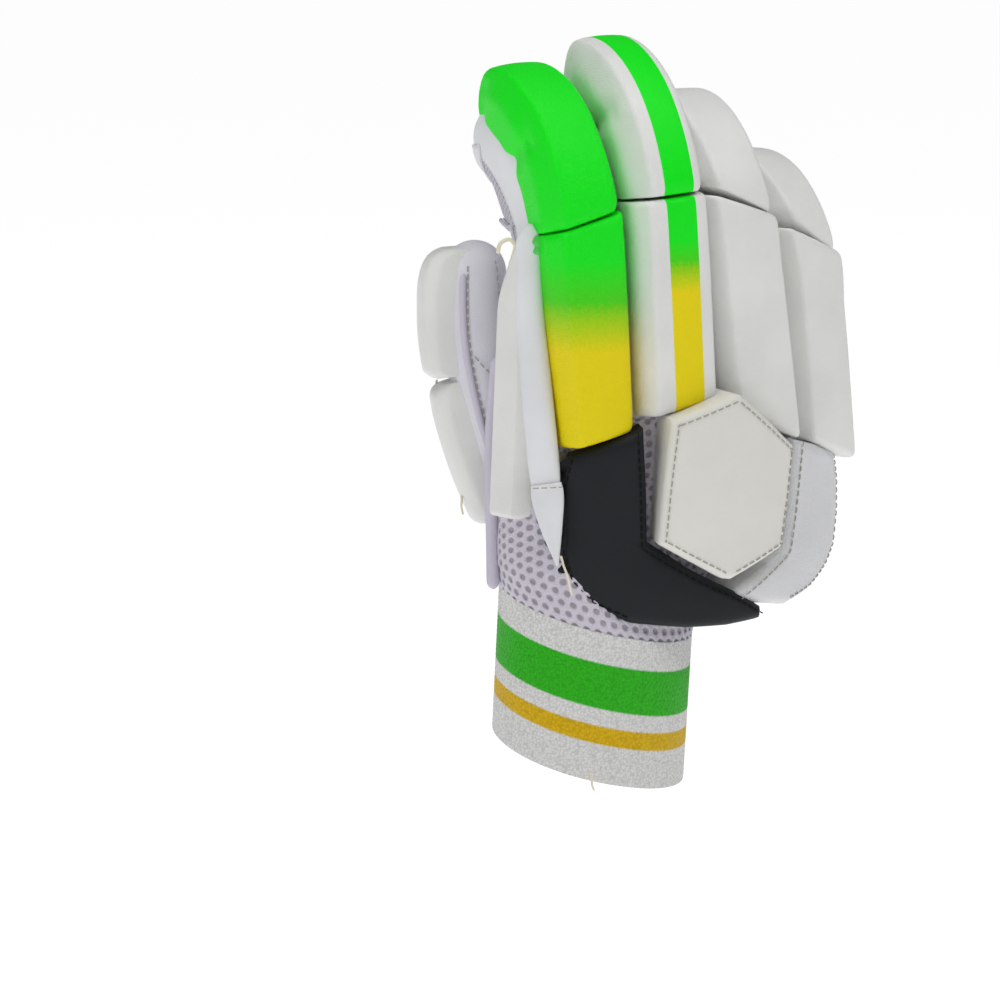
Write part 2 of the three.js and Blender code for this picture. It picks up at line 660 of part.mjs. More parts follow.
for (const finger of FINGERS) {
  const sleeve = freeFinger(finger, 0)
    .subtract(fingerBody(finger, -SHELL_WALL, -FINGER_LENGTH))
    .subtract(tongueWindow(finger, 2 * SEAM_GAP));
  const tongue = shell.intersect(tongueWindow(finger, 0)).intersect(freeFinger(finger, 0));
  keep(`${finger.name}_tongue`, tongue, WHITE);
  const steps = [...BEND_STEPS, SLEEVE_REACH];
  const upper = (low) => fingerSlab(finger, -SLEEVE_REACH, steps, FINGER_WIDTH, low, FINGER_DEPTH, 0);
  keep(`${finger.name}_side_band`, sleeve.intersect(upper(0)), WHITE);
  keep(`${finger.name}_mesh_sleeve`, sleeve.subtract(upper(-SEAM_GAP)), MESH);
}

function thumbHalf(low) {
  const rings = THUMB_ROWS.map((row, index) => {
    const place = thumbPlace(row.up);
    const end = index === THUMB_ROWS.length - 1 ? THUMB_DEPTH : 0;
    place.centre.addScaledVector(place.up, end);
    return slabRing(place, low, THUMB_WIDTH, -THUMB_DEPTH, THUMB_DEPTH);
  });
  return loft(rings);
}
keep('thumb_mesh', thumbShell.intersect(thumbHalf(THUMB_SHARE * THUMB_WIDTH)), MESH);
keep('thumb_leather', thumbShell.subtract(thumbHalf(THUMB_SHARE * THUMB_WIDTH - SEAM_GAP)), WHITE);
keep('thumb_base_pad', fit(thumbPad(0.26, 0.6, 0).subtract(clearance)), WHITE);
keep('thumb_tip_pad', thumbPad(0.62, 0.9, 0).subtract(clearance), WHITE);

keep('cuff', cuffBody(0, 0, 1).subtract(cuffBody(-CUFF_WALL, -CUFF_REACH, 1 + CUFF_REACH)), WHITE);
const strapLow = SEAM_GAP;
const strapHigh = strapLow + STRAP_THICKNESS;
const cuffSkin = (low, high) => cuffBody(high, 0, 1).subtract(cuffBody(low, -CUFF_REACH, 1 + CUFF_REACH));
const strap = cuffSkin(strapLow, strapHigh).intersect(cuffWindow(STRAP_ROWS));
keep('strap', strap, WHITE);
const stripeLow = strapHigh + SEAM_GAP;
const stripes = cuffSkin(stripeLow, stripeLow + STRIPE_THICKNESS);
keep('strap_green_band', stripes.intersect(cuffWindow(GREEN_ROWS)), GREEN);
keep('strap_yellow_band', stripes.intersect(cuffWindow(YELLOW_ROWS)), YELLOW);

const anchor = loft(ANCHOR_ROWS.map((row) => {
  const place = {
    centre: point(row.side * HAND_WIDTH, 0.3 * HAND_DEPTH, CUFF_LENGTH + row.up * HAND_LENGTH),
    across: point(0, 1, 0),
    out: point(1, 0, -0.5).normalize(),
  };
  const halfWidth = ANCHOR_WIDTH / 2;
  return slabRing(place, -halfWidth, halfWidth, -ANCHOR_THICKNESS, ANCHOR_THICKNESS);
}));
const strapClearance = cuffBody(strapHigh + SEAM_GAP, -CUFF_REACH, 1 + CUFF_REACH);
keep('strap_anchor', fit(anchor.subtract(clearance)).subtract(strapClearance), WHITE);

const part = new THREE.Group();
part.name = 'cricket_batting_glove';
for (const { name, body, colour } of nodes) {
  const made = body.getMesh();
  const geometry = new THREE.BufferGeometry();
  geometry.setAttribute('position', new THREE.BufferAttribute(new Float32Array(made.vertProperties), 3));
  geometry.setIndex(new THREE.BufferAttribute(new Uint32Array(made.triVerts), 1));
  geometry.computeVertexNormals();
  const mesh = new THREE.Mesh(geometry, new THREE.MeshStandardMaterial({ color: colour }));
  mesh.name = name;
  part.add(mesh);
}
export default part;
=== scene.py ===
import math

import bpy
import numpy as np
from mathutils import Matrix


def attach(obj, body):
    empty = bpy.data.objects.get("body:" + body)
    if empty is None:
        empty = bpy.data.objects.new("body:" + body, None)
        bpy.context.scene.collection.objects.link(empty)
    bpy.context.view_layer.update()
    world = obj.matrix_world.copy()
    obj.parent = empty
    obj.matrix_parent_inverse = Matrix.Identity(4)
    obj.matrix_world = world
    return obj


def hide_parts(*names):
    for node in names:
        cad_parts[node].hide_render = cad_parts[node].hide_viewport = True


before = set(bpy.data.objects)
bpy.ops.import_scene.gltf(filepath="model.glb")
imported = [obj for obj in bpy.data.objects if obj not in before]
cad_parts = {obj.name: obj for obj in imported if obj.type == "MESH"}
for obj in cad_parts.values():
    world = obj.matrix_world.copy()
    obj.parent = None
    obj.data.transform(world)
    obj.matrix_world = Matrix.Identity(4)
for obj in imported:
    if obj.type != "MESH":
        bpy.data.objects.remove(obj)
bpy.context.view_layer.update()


# Studio: a wide pale floor, soft light from the right, from above and from the left, and the camera.
# The floor lies well below the cuff, so the glove seems to stand free. The camera looks at the back of
# the hand from the thumb's side and a little from above.
def srgb(code):
    """Linear colour of an sRGB hex code: ((c + 0.055) / 1.055) to the power 2.4, or c / 12.92 near black."""
    c = np.array([int(code[i:i + 2], 16) for i in (1, 3, 5)]) / 255
    return (*np.where(c > 0.04045, ((c + 0.055) / 1.055) ** 2.4, c / 12.92).tolist(), 1.0)


def add_node(tree, kind, settings=None, links=None):
    """Adds a node, sets its properties or its sockets' values, and links its sockets to others."""
    node = tree.nodes.new(kind)
    for key, value in (settings or {}).items():
        if isinstance(key, str) and hasattr(node, key):
            setattr(node, key, value)
        else:
            node.inputs[key].default_value = value
    for key, source in (links or {}).items():
        tree.links.new(source, node.inputs[key])
    return node


def new_finish(name):
    """An empty material with its output node; returns the material and its node tree."""
    material = bpy.data.materials.new(name)
    material.use_nodes = True
    material.node_tree.nodes.clear()
    return material, material.node_tree


def place_in_scene(name, mesh, finish):
    """A new object at the origin that shows the mesh with that finish."""
    piece = bpy.data.objects.new(name, mesh)
    bpy.context.scene.collection.objects.link(piece)
    mesh.materials.append(finish)
    return piece


FLOOR_DROP = 0.072
FLOOR_RADIUS = 14.0
around = np.linspace(0, 2 * np.pi, 65)[:-1]
floor_rim = np.stack([FLOOR_RADIUS * np.cos(around), FLOOR_RADIUS * np.sin(around),
                      0 * around - FLOOR_DROP], -1)
floor_mesh = bpy.data.meshes.new("floor")
floor_mesh.from_pydata(floor_rim.tolist(), [], [list(range(64))])
floor_finish, tree = new_finish("white_paper_sweep")
floor_shader = add_node(tree, "ShaderNodeBsdfPrincipled", {
    "Base Color": srgb("#8C8C8D"), "Roughness": 0.9, "Emission Color": srgb("#FFFFFF"),
    "Emission Strength": 0.94,
})
add_node(tree, "ShaderNodeOutputMaterial", links={"Surface": floor_shader.outputs[0]})
floor = place_in_scene("floor", floor_mesh, floor_finish)

sky = bpy.data.worlds.new("studio")
sky.use_nodes = True
sky.node_tree.nodes["Background"].inputs["Color"].default_value = srgb("#FDFDFF")
horizon = add_node(sky.node_tree, "ShaderNodeSeparateXYZ",
                   links={0: add_node(sky.node_tree, "ShaderNodeTexCoord").outputs["Generated"]})
glow = add_node(sky.node_tree, "ShaderNodeMapRange", {1: 0.02, 2: 0.5, 3: 0.16, 4: 0.12},
                {0: horizon.outputs["Z"]})
sky.node_tree.links.new(glow.outputs[0], sky.node_tree.nodes["Background"].inputs["Strength"])
bpy.context.scene.world = sky
bpy.context.scene.view_settings.view_transform = "Standard"


def soft_box(name, spot, aim, size, watts):
    """A square area light of that size at spot, which points at aim."""
    lamp = bpy.data.lights.new(name, "AREA")
    lamp.energy = watts
    lamp.size = size
    box = bpy.data.objects.new(name, lamp)
    bpy.context.scene.collection.objects.link(box)
    forward = np.array(aim) - np.array(spot)
    box.location = spot
    box.rotation_euler = (
        math.acos(-forward[2] / np.linalg.norm(forward)), 0,
        math.atan2(forward[1], forward[0]) - math.pi / 2)
    return box


soft_box("key_box", (0.5, -0.8, 1.5), (0.03, 0, 0.13), 0.6, 7.2)
soft_box("top_box", (-0.25, -0.05, 1.5), (0.02, 0, 0.15), 0.7, 7)
soft_box("left_box", (-1.2, -0.45, 0.7), (0.0, 0, 0.15), 0.8, 3)

VIEW_TURN = math.radians(-24)
VIEW_TILT = math.radians(12.5)
VIEW_DISTANCE = 1.2
LENS, SENSOR_WIDTH = 108, 36
view_back = np.array([
    math.sin(VIEW_TURN) * math.cos(VIEW_TILT), -math.cos(VIEW_TURN) * math.cos(VIEW_TILT),
    math.sin(VIEW_TILT)])
view_right = np.array([math.cos(VIEW_TURN), math.sin(VIEW_TURN), 0])
view_up = np.cross(view_back, view_right)
view_aim = -0.0352 * view_right + 0.1008 * view_up
camera_data = bpy.data.cameras.new("camera")
camera_data.lens = LENS
camera_data.sensor_width = SENSOR_WIDTH
camera = bpy.data.objects.new("camera", camera_data)
camera.location = view_aim + view_back * VIEW_DISTANCE
camera.rotation_euler = (math.pi / 2 - VIEW_TILT, 0, VIEW_TURN)
bpy.context.scene.collection.objects.link(camera)
bpy.context.scene.camera = camera


# Finger pads: eight firm foam blocks, each sewn into smooth leather, one over each finger's tip
# and one over its knuckle. They meet in a tight crease at the joint and bend over the finger's end.
# The index finger's pads are green and fade to yellow; the middle finger's carry a printed stripe.
CUFF_LENGTH, HAND_WIDTH, HAND_DEPTH, HAND_LENGTH = 0.060, 0.126, 0.046, 0.132
FINGER_LENGTH, FINGER_WIDTH, FINGER_DEPTH = 0.052, 0.031, 0.029
PAD_WIDTH, PAD_THICKNESS, PAD_BEVEL = 0.034, 0.018, 0.0050
FINGERS = {
    "index": dict(side=-0.095, depth=0.06, up=1.162, face=-3, tip_face=1, lean=4.6, first=12, last=95,
                  joint_slant=11, base_slant=9, length=0.99, wide=1.06, web=0.93, pad_wide=0.95, spread=0.95,
                  knuckle=0.612, tongue=0.52, belly=0.018),
    "middle": dict(side=0.155, depth=-0.065, up=1.232, face=0, tip_face=-2, lean=4, first=10, last=92,
                   joint_slant=1, base_slant=8, length=1.02, wide=0.965, web=0.93, pad_wide=0.94, spread=1.08,
                   knuckle=0.6, tongue=0.55, belly=0),
    "ring": dict(side=0.382, depth=-0.026, up=1.175, face=7, tip_face=-10, lean=8.8, first=22, last=112,
                 joint_slant=-28, base_slant=-35, length=0.76, wide=0.91, web=0.88, pad_wide=0.97,
                 spread=1.08, knuckle=0.625, tongue=0.55, belly=0),
    "little": dict(side=0.64, depth=0.16, up=1.03, face=18, tip_face=-6, lean=9, first=34, last=122,
                   joint_slant=-35, base_slant=-31, length=0.68, wide=0.83, web=0.79, pad_wide=0.91,
                   spread=1.04, knuckle=0.6, tongue=0.5, belly=0),
}


def finger_line(finger, along):
    """Centre, across, out and up of a finger's middle line at lengths past its joint: straight below the
    joint; above it an arc of a circle that turns from the first bend angle to the last."""
    along = np.asarray(along, float)[:, None]
    facing = np.radians(np.where(along < 0, finger["face"], finger["tip_face"]))
    zero = 0 * facing
    forward = np.concatenate([np.sin(facing), -np.cos(facing), zero], 1)
    level = np.concatenate([np.cos(facing), np.sin(facing), zero], 1)
    lean = math.radians(finger["lean"])
    upright = np.array([0, 0, 1.0])
    up = math.cos(lean) * upright - math.sin(lean) * level
    across = math.cos(lean) * level + math.sin(lean) * upright
    joint = np.array([finger["side"] * HAND_WIDTH, finger["depth"] * HAND_DEPTH,
                      CUFF_LENGTH + finger["up"] * HAND_LENGTH])
    length = finger["length"] * FINGER_LENGTH
    first = math.radians(finger["first"])
    turn = math.radians(finger["last"] - finger["first"]) / length
    bend = first + turn * np.maximum(along, 0)
    bent = (along >= 0).astype(float)
    centre = joint + np.minimum(along, 0) * up + bent * (
        (np.sin(bend) - math.sin(first)) / turn * up - (math.cos(first) - np.cos(bend)) / turn * forward)
    tilt = bend * bent
    onward = np.cos(tilt) * up - np.sin(tilt) * forward
    out = np.cos(tilt) * forward + np.sin(tilt) * up
    twist = math.radians(finger["face"] - finger["tip_face"]) * np.clip(1 - along / length, 0, 1) * bent
    across_turned = np.cos(twist) * across + np.sin(twist) * np.cross(onward, across)
    out_turned = np.cos(twist) * out + np.sin(twist) * np.cross(onward, out)
    return centre, across_turned, out_turned, onward


def eased(at, knots, values):
    """A smooth curve through knots: between two of them a cubic, whose slopes are the mean of the chords'
    slopes, or nought where these differ in sign."""
    knots, values = np.array(knots, float), np.array(values, float)
    chord = np.diff(values) / np.diff(knots)
    inner = np.where(chord[1:] * chord[:-1] > 0, (chord[1:] + chord[:-1]) / 2, 0)
    slope = np.concatenate([chord[:1], inner, chord[-1:]])
    low = np.clip(np.searchsorted(knots, at, side="right") - 1, 0, len(knots) - 2)
    step = knots[low + 1] - knots[low]
    t = (np.clip(at, knots[0], knots[-1]) - knots[low]) / step
    return ((2 * t ** 3 - 3 * t ** 2 + 1) * values[low] + (t ** 3 - 2 * t ** 2 + t) * step * slope[low]
            + (3 * t ** 2 - 2 * t ** 3) * values[low + 1] + (t ** 3 - t ** 2) * step * slope[low + 1])


def oval(angle, power):
    """Cosine and sine of an angle, each raised to a power with its sign kept; under 1 fills the corners."""
    wide, deep = np.cos(angle), np.sin(angle)
    return np.sign(wide) * np.abs(wide) ** power, np.sign(deep) * np.abs(deep) ** power


def edge_drop(gap, radius):
    """How far a quarter circle of that radius lies below its top, at a distance from the edge."""
    return radius * (1 - np.sqrt(1 - np.clip(1 - gap / radius, 0, 1) ** 2))


def closing_rows(count, scales):
    """Shares of a pad's length, closer together towards its ends, with more rows at both ends, and the
    scale of each row: the rows at the ends shrink onto the middle line and close the pad."""
    part = 0.5 - 0.5 * np.cos(np.linspace(0, np.pi, count))
    part = np.concatenate([np.zeros(len(scales)), part, np.ones(len(scales))])
    return part, np.concatenate([scales, np.ones(count), scales[::-1]])


def resized(section, low, high, scale):
    """Sections made larger or smaller about the middle of their height; scale is one per row or point."""
    middle = np.stack([0 * high, (low + high) / 2], -1)[:, None]
    return middle + (section - middle) * scale[..., None]


def distance_run(points):
    """The distance run along a line of points, at each of them."""
    return np.concatenate([[0], np.cumsum(np.linalg.norm(np.diff(points, axis=0), axis=1))])


def unit(vectors):
    """Vectors of the same directions, one long."""
    return vectors / np.linalg.norm(vectors, axis=-1, keepdims=True)


def filleted(corners, radii, flats=3, steps=5):
    """Closed sections (row, point, 2) from sections given by their corners: each corner becomes the curve
    (1-t)^2 a + 2t(1-t) corner + t^2 b, whose ends a and b lie at its radius from it, and each flat between
    two curves gets more points."""
    before = np.roll(corners, 1, 1) - corners
    after = np.roll(corners, -1, 1) - corners
    length_before = np.linalg.norm(before, axis=-1, keepdims=True)
    length_after = np.linalg.norm(after, axis=-1, keepdims=True)
    radii = np.asarray(radii)[None, :, None]
    a = corners + before * np.minimum(radii / length_before, 0.48)
    b = corners + after * np.minimum(radii / length_after, 0.48)
    t = np.linspace(0, 1, steps)[None, None, :, None]
    curve = (1 - t) ** 2 * a[:, :, None] + 2 * t * (1 - t) * corners[:, :, None] + t ** 2 * b[:, :, None]
    part = (np.arange(1, flats + 1) / (flats + 1))[None, None, :, None]
    flat = b[:, :, None] + (np.roll(a, -1, 1) - b)[:, :, None] * part
    return np.concatenate([curve, flat], 2).reshape(corners.shape[0], -1, 2)


def mirrored(half):
    """A closed section from its right half, whose first and last corner lie on the middle line."""
    return np.stack([np.stack(point, -1) for point in half + [(-x, y) for x, y in half[-2:0:-1]]], 1)


def grid_skin(name, rows, finish, wrap=True, close=(True, True), inside=None, marks=None):
    """A surface through a grid of points (row, column, 3). wrap joins the last column to the first, close
    fills the first and last row with a fan onto their mean. Faces are turned to point away from inside,
    or outwards from the enclosed volume. marks are values per grid point, kept as attributes."""
    count, across = rows.shape[:2]
    points = rows.reshape(-1, 3)
    cells = np.arange(count * across).reshape(count, across)
    right = np.roll(cells, -1, 1) if wrap else cells[:, 1:]
    left = cells if wrap else cells[:, :-1]
    quads = np.stack([left[:-1], right[:-1], right[1:], left[1:]], -1).reshape(-1, 4)
    fans = []
    for row, wanted, order in ((0, close[0], 1), (count - 1, close[1], -1)):
        if wanted:
            hub = len(points)
            points = np.concatenate([points, rows[row].mean(0)[None]])
            fans.append(np.stack([right[row], left[row], np.full(left.shape[1], hub)], -1)[:, ::order])
    triangles = np.concatenate(fans) if fans else np.zeros((0, 3), int)
    centre = points.mean(0) if inside is None else np.array(inside)
    corner = points[quads] - centre
    normal = np.cross(corner[:, 2] - corner[:, 0], corner[:, 3] - corner[:, 1])
    if (normal * corner.mean(1)).sum() < 0:
        quads, triangles = quads[:, ::-1], triangles[:, ::-1]
    mesh = bpy.data.meshes.new(name)
    mesh.from_pydata(points.tolist(), [], quads.tolist() + triangles.tolist())
    mesh.polygons.foreach_set("use_smooth", np.ones(len(mesh.polygons), bool))
    for mark, values in (marks or {}).items():
        values = np.asarray(values, float)
        ends = [values[row].mean() for row, wanted in ((0, close[0]), (-1, close[1])) if wanted]
        values = np.concatenate([values.reshape(-1), ends])
        mesh.attributes.new(mark, "FLOAT", "POINT").data.foreach_set("value", values)
    mesh.update()
    return place_in_scene(name, mesh, finish)


def shell(piece, thickness):
    """Gives a sheet its wall, on the side that its faces turn away from."""
    wall = piece.modifiers.new("wall", "SOLIDIFY")
    wall.thickness = thickness
    wall.offset = -1
    return piece


def walled(name, points, finish, inside, thickness, marks=None):
    """An open sheet through a grid of points, turned away from inside, with its wall."""
    return shell(grid_skin(name, points, finish, False, (False, False), inside, marks), thickness)


def sweep(name, line, across, out, half_width, half_height, finish, sides=14, square=1.0):
    """A closed form along a line: at each point an oval, half_width cos across and half_height sin out,
    whose powers under 1 fill its corners. The first and last oval are closed."""
    line = np.asarray(line, float)
    wide, deep = oval(np.linspace(0, 2 * np.pi, sides + 1)[:-1], square)
    across, out = np.broadcast_to(across, line.shape), np.broadcast_to(out, line.shape)
    half_width, half_height = (np.broadcast_to(size, len(line)) for size in (half_width, half_height))
    rows = (line[:, None] + (half_width[:, None] * wide)[..., None] * across[:, None]
            + (half_height[:, None] * deep)[..., None] * out[:, None])
    return grid_skin(name, rows, finish)


def along_line(points, count):
    """A smooth line of that many points, evenly spaced, through given points, and its unit tangents."""
    points = np.asarray(points, float)
    run = distance_run(points)
    at = np.linspace(0, run[-1], count)
    line = np.stack([eased(at, run, points[:, k]) for k in range(3)], -1)
    return line, unit(np.gradient(line, axis=0))


def end_gaps(count):
    """How many points each point of a line lies from the line's nearer end."""
    return np.minimum(np.arange(count), np.arange(count)[::-1])


def cord_run(name, points, radius, finish, out=(0, -1, 0), count=80):
    """A round cord through points, which narrows at both ends; out is a direction that it never follows."""
    line, tangent = along_line(points, count)
    across = unit(np.cross(tangent, np.asarray(out, float)))
    fall = radius * np.sqrt(1 - 0.98 * np.clip(1 - end_gaps(count) / 3, 0, 1) ** 2)
    return sweep(name, line, across, np.cross(across, tangent), fall, fall, finish, sides=10)


def thread_finish(name, colour):
    """Sewing thread: matte twisted yarn with a faint stripe across it."""
    material, tree = new_finish(name)
    place = add_node(tree, "ShaderNodeTexCoord").outputs["Object"]
    twist = add_node(tree, "ShaderNodeTexNoise", {"Scale": 1800, "Detail": 1}, {"Vector": place})
    bump = add_node(tree, "ShaderNodeBump", {"Strength": 0.5, "Distance": 0.0002},
                    {"Height": twist.outputs[0]})
    shader = add_node(tree, "ShaderNodeBsdfPrincipled", {
        "Base Color": srgb(colour), "Roughness": 0.8, "Specular IOR Level": 0.2},
        {"Normal": bump.outputs[0]})
    add_node(tree, "ShaderNodeOutputMaterial", links={"Surface": shader.outputs[0]})
    return material


STITCH_LENGTH, STITCH_PITCH, THREAD_RADIUS = 0.0022, 0.0033, 0.00026
STITCH_LIFT, STITCH_ARCH = 0.00012, 0.00025


def stitches(name, points, finish, out, slot="white_leather"):
    """A row of stitches along a line: each an arc that leaves the leather, h cos(pi u) high, and sinks back
    into it. out is the leather's normal, one or one per point."""
    points = np.asarray(points, float)
    run = distance_run(points)
    out = np.broadcast_to(np.asarray(out, float), points.shape)
    part = np.linspace(-0.5, 0.5, 6)
    at = np.arange(STITCH_PITCH / 2, run[-1], STITCH_PITCH)[:, None] + part * STITCH_LENGTH
    read = lambda values: np.stack([np.interp(at, run, values[:, k]) for k in range(3)], -1)
    line, normal = read(points), unit(read(out))
    tangent = unit(line[:, -1:] - line[:, :1]) + 0 * line
    side = unit(np.cross(tangent, normal))
    arch = (STITCH_LIFT + STITCH_ARCH * np.cos(part * np.pi))[None, :, None]
    turn = np.linspace(0, 2 * np.pi, 7)[:-1, None]
    rows = (line + arch * normal)[:, :, None] + THREAD_RADIUS * (
        np.cos(turn) * side[:, :, None] + np.sin(turn) * normal[:, :, None])
    total, rings, sides = rows.shape[:3]
    cells = np.arange(total * rings * sides).reshape(total, rings, sides)
    quads = np.stack([cells[:, :-1], cells[:, 1:], np.roll(cells, -1, 2)[:, 1:],
                      np.roll(cells, -1, 2)[:, :-1]], -1)
    ends = [cells[:, 0].tolist(), cells[:, -1, ::-1].tolist()]
    mesh = bpy.data.meshes.new(name)
    mesh.from_pydata(rows.reshape(-1, 3).tolist(), [], quads.reshape(-1, 4).tolist() + ends[0] + ends[1])
    mesh.update()
    return dress(place_in_scene(name, mesh, finish), slot)


def dress(piece, slot, *nodes):
    """Says which body a piece rides on and which solids it stands for; slot is not used."""
    if nodes:
        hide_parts(*nodes)
    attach(piece, "root")
    return piece


def leather(name, colour, grain=0.0009, depth=0.35, roughness=0.42, shade="#C9C9CB", paint=None, coat=0.32):
    """Coated leather: a base colour that drifts a little, with a fine pebbled grain of that width, and a
    satin top coat. paint, when given, takes the tree and the colour and returns the printed colour."""
    material, tree = new_finish(name)
    place = add_node(tree, "ShaderNodeTexCoord").outputs["Object"]
    drift = add_node(tree, "ShaderNodeTexNoise", {"Scale": 38, "Detail": 3}, {"Vector": place})
    drift_range = add_node(tree, "ShaderNodeMapRange", {1: 0.35, 2: 0.7, 3: 0.0, 4: 0.22},
                           {0: drift.outputs[0]})
    base = add_node(tree, "ShaderNodeMix", {"data_type": "RGBA", 6: srgb(colour), 7: srgb(shade)},
                    {0: drift_range.outputs[0]}).outputs[2]
    if paint:
        base = paint(tree, base)
    cells = add_node(tree, "ShaderNodeTexVoronoi", {"feature": "DISTANCE_TO_EDGE", "Scale": 1 / grain},
                     {"Vector": place})
    pebble = add_node(tree, "ShaderNodeMapRange", {1: 0.0, 2: 0.22, 3: 0.0, 4: 1.0}, {0: cells.outputs[0]})
    crease = add_node(tree, "ShaderNodeTexNoise", {"Scale": 520, "Detail": 4, "Roughness": 0.6},
                      {"Vector": place})
    relief = add_node(tree, "ShaderNodeMath", {"operation": "MULTIPLY_ADD", 1: 0.6},
                      {0: pebble.outputs[0], 2: crease.outputs[0]})
    bump = add_node(tree, "ShaderNodeBump", {"Strength": depth, "Distance": 0.0003},
                    {"Height": relief.outputs[0]})
    gloss = add_node(tree, "ShaderNodeMapRange", {1: 0.2, 2: 0.8, 3: roughness - 0.06, 4: roughness + 0.1},
                     {0: crease.outputs[0]})
    shader = add_node(tree, "ShaderNodeBsdfPrincipled", {"IOR": 1.48, "Specular IOR Level": coat},
                      {"Base Color": base, "Roughness": gloss.outputs[0], "Normal": bump.outputs[0]})
    add_node(tree, "ShaderNodeOutputMaterial", links={"Surface": shader.outputs[0]})
    return material


def mark_mask(tree, mark, low, high, soft):
    """1 where the attribute lies between low and high, with edges that are soft wide, else 0."""
    value = add_node(tree, "ShaderNodeAttribute", {"attribute_name": mark}).outputs["Fac"]
    rising = add_node(tree, "ShaderNodeMapRange", {1: low - soft / 2, 2: low + soft / 2}, {0: value})
    falling = add_node(tree, "ShaderNodeMapRange",
                       {1: high - soft / 2, 2: high + soft / 2, 3: 1.0, 4: 0.0}, {0: value})
    return add_node(tree, "ShaderNodeMath", {"operation": "MULTIPLY"},
                    {0: rising.outputs[0], 1: falling.outputs[0]}).outputs[0]


def blend_colour(tree, mask, under, over):
    """Lays the over colour, a hex code or a socket, on the under colour where the mask is 1."""
    links = {0: mask, 6: under}
    settings = {"data_type": "RGBA"}
    if isinstance(over, str):
        settings[7] = srgb(over)
    else:
        links[7] = over
    return add_node(tree, "ShaderNodeMix", settings, links).outputs[2]


LEAF_GREEN, LIME, SUN_YELLOW = "#06F21A", "#4FD80E", "#F0DC02"


def green_fade(tree, under, top=0.205, low=0.170):
    """Print that turns from green through lime to yellow as height falls, in fine printed dots."""
    fade = add_node(tree, "ShaderNodeAttribute", {"attribute_name": "height"}).outputs["Fac"]
    dots = add_node(tree, "ShaderNodeTexNoise", {"Scale": 900, "Detail": 1},
                    {"Vector": add_node(tree, "ShaderNodeTexCoord").outputs["Object"]})
    ragged = add_node(tree, "ShaderNodeMath", {"operation": "MULTIPLY_ADD", 1: 0.006},
                      {0: dots.outputs[0], 2: fade})
    middle = (top + low) / 2
    to_lime = add_node(tree, "ShaderNodeMapRange", {1: top, 2: middle, 3: 0.0, 4: 1.0},
                       {0: ragged.outputs[0]})
    to_yellow = add_node(tree, "ShaderNodeMapRange", {1: middle + 0.002, 2: low, 3: 0.0, 4: 1.0},
                         {0: ragged.outputs[0]})
    lime = add_node(tree, "ShaderNodeMix", {"data_type": "RGBA", 6: srgb(LEAF_GREEN), 7: srgb(LIME)},
                    {0: to_lime.outputs[0]}).outputs[2]
    return blend_colour(tree, to_yellow.outputs[0], lime, SUN_YELLOW)


def stripe_print(tree, under):
    """A printed stripe along the middle of the pad, edged cleanly, that fades from green to yellow."""
    mask = mark_mask(tree, "side", -0.0052, 0.0072, 0.0003)
    face = mark_mask(tree, "face", 0.55, 9.0, 0.1)
    both = add_node(tree, "ShaderNodeMath", {"operation": "MULTIPLY"}, {0: mask, 1: face}).outputs[0]
    return blend_colour(tree, both, under, green_fade(tree, under, 0.212, 0.192))


white_pad_leather = leather("white_coated_leather", "#ECECE9")
green_pad_leather = leather("green_printed_leather", LEAF_GREEN, paint=green_fade, coat=0.24, depth=0.5)
striped_pad_leather = leather("white_leather_with_stripe", "#ECECE9", paint=stripe_print, coat=0.22)

KNUCKLE_ROWS = dict(along=[0, 0.05, 0.2, 0.8, 0.95, 1], rise=[0.97, 0.99, 1, 0.97, 0.95, 0.92],
                    wide=[0.99, 1, 1, 0.97, 0.96, 0.95])
TIP_ROWS = dict(along=[0, 0.08, 0.35, 0.62, 0.86, 1, 1.06], rise=[0.98, 0.99, 1, 0.94, 0.82, 0.68, 0.56],
                wide=[0.99, 1, 1, 0.97, 0.9, 0.83, 0.78])
TILT_REACH, FOLD_REACH, RIPPLE_REACH, DENT_REACH = 0.012, 0.004, 0.02, 0.0035
FOLD_SIZE, DENT_SIZE = 0.006, 0.12


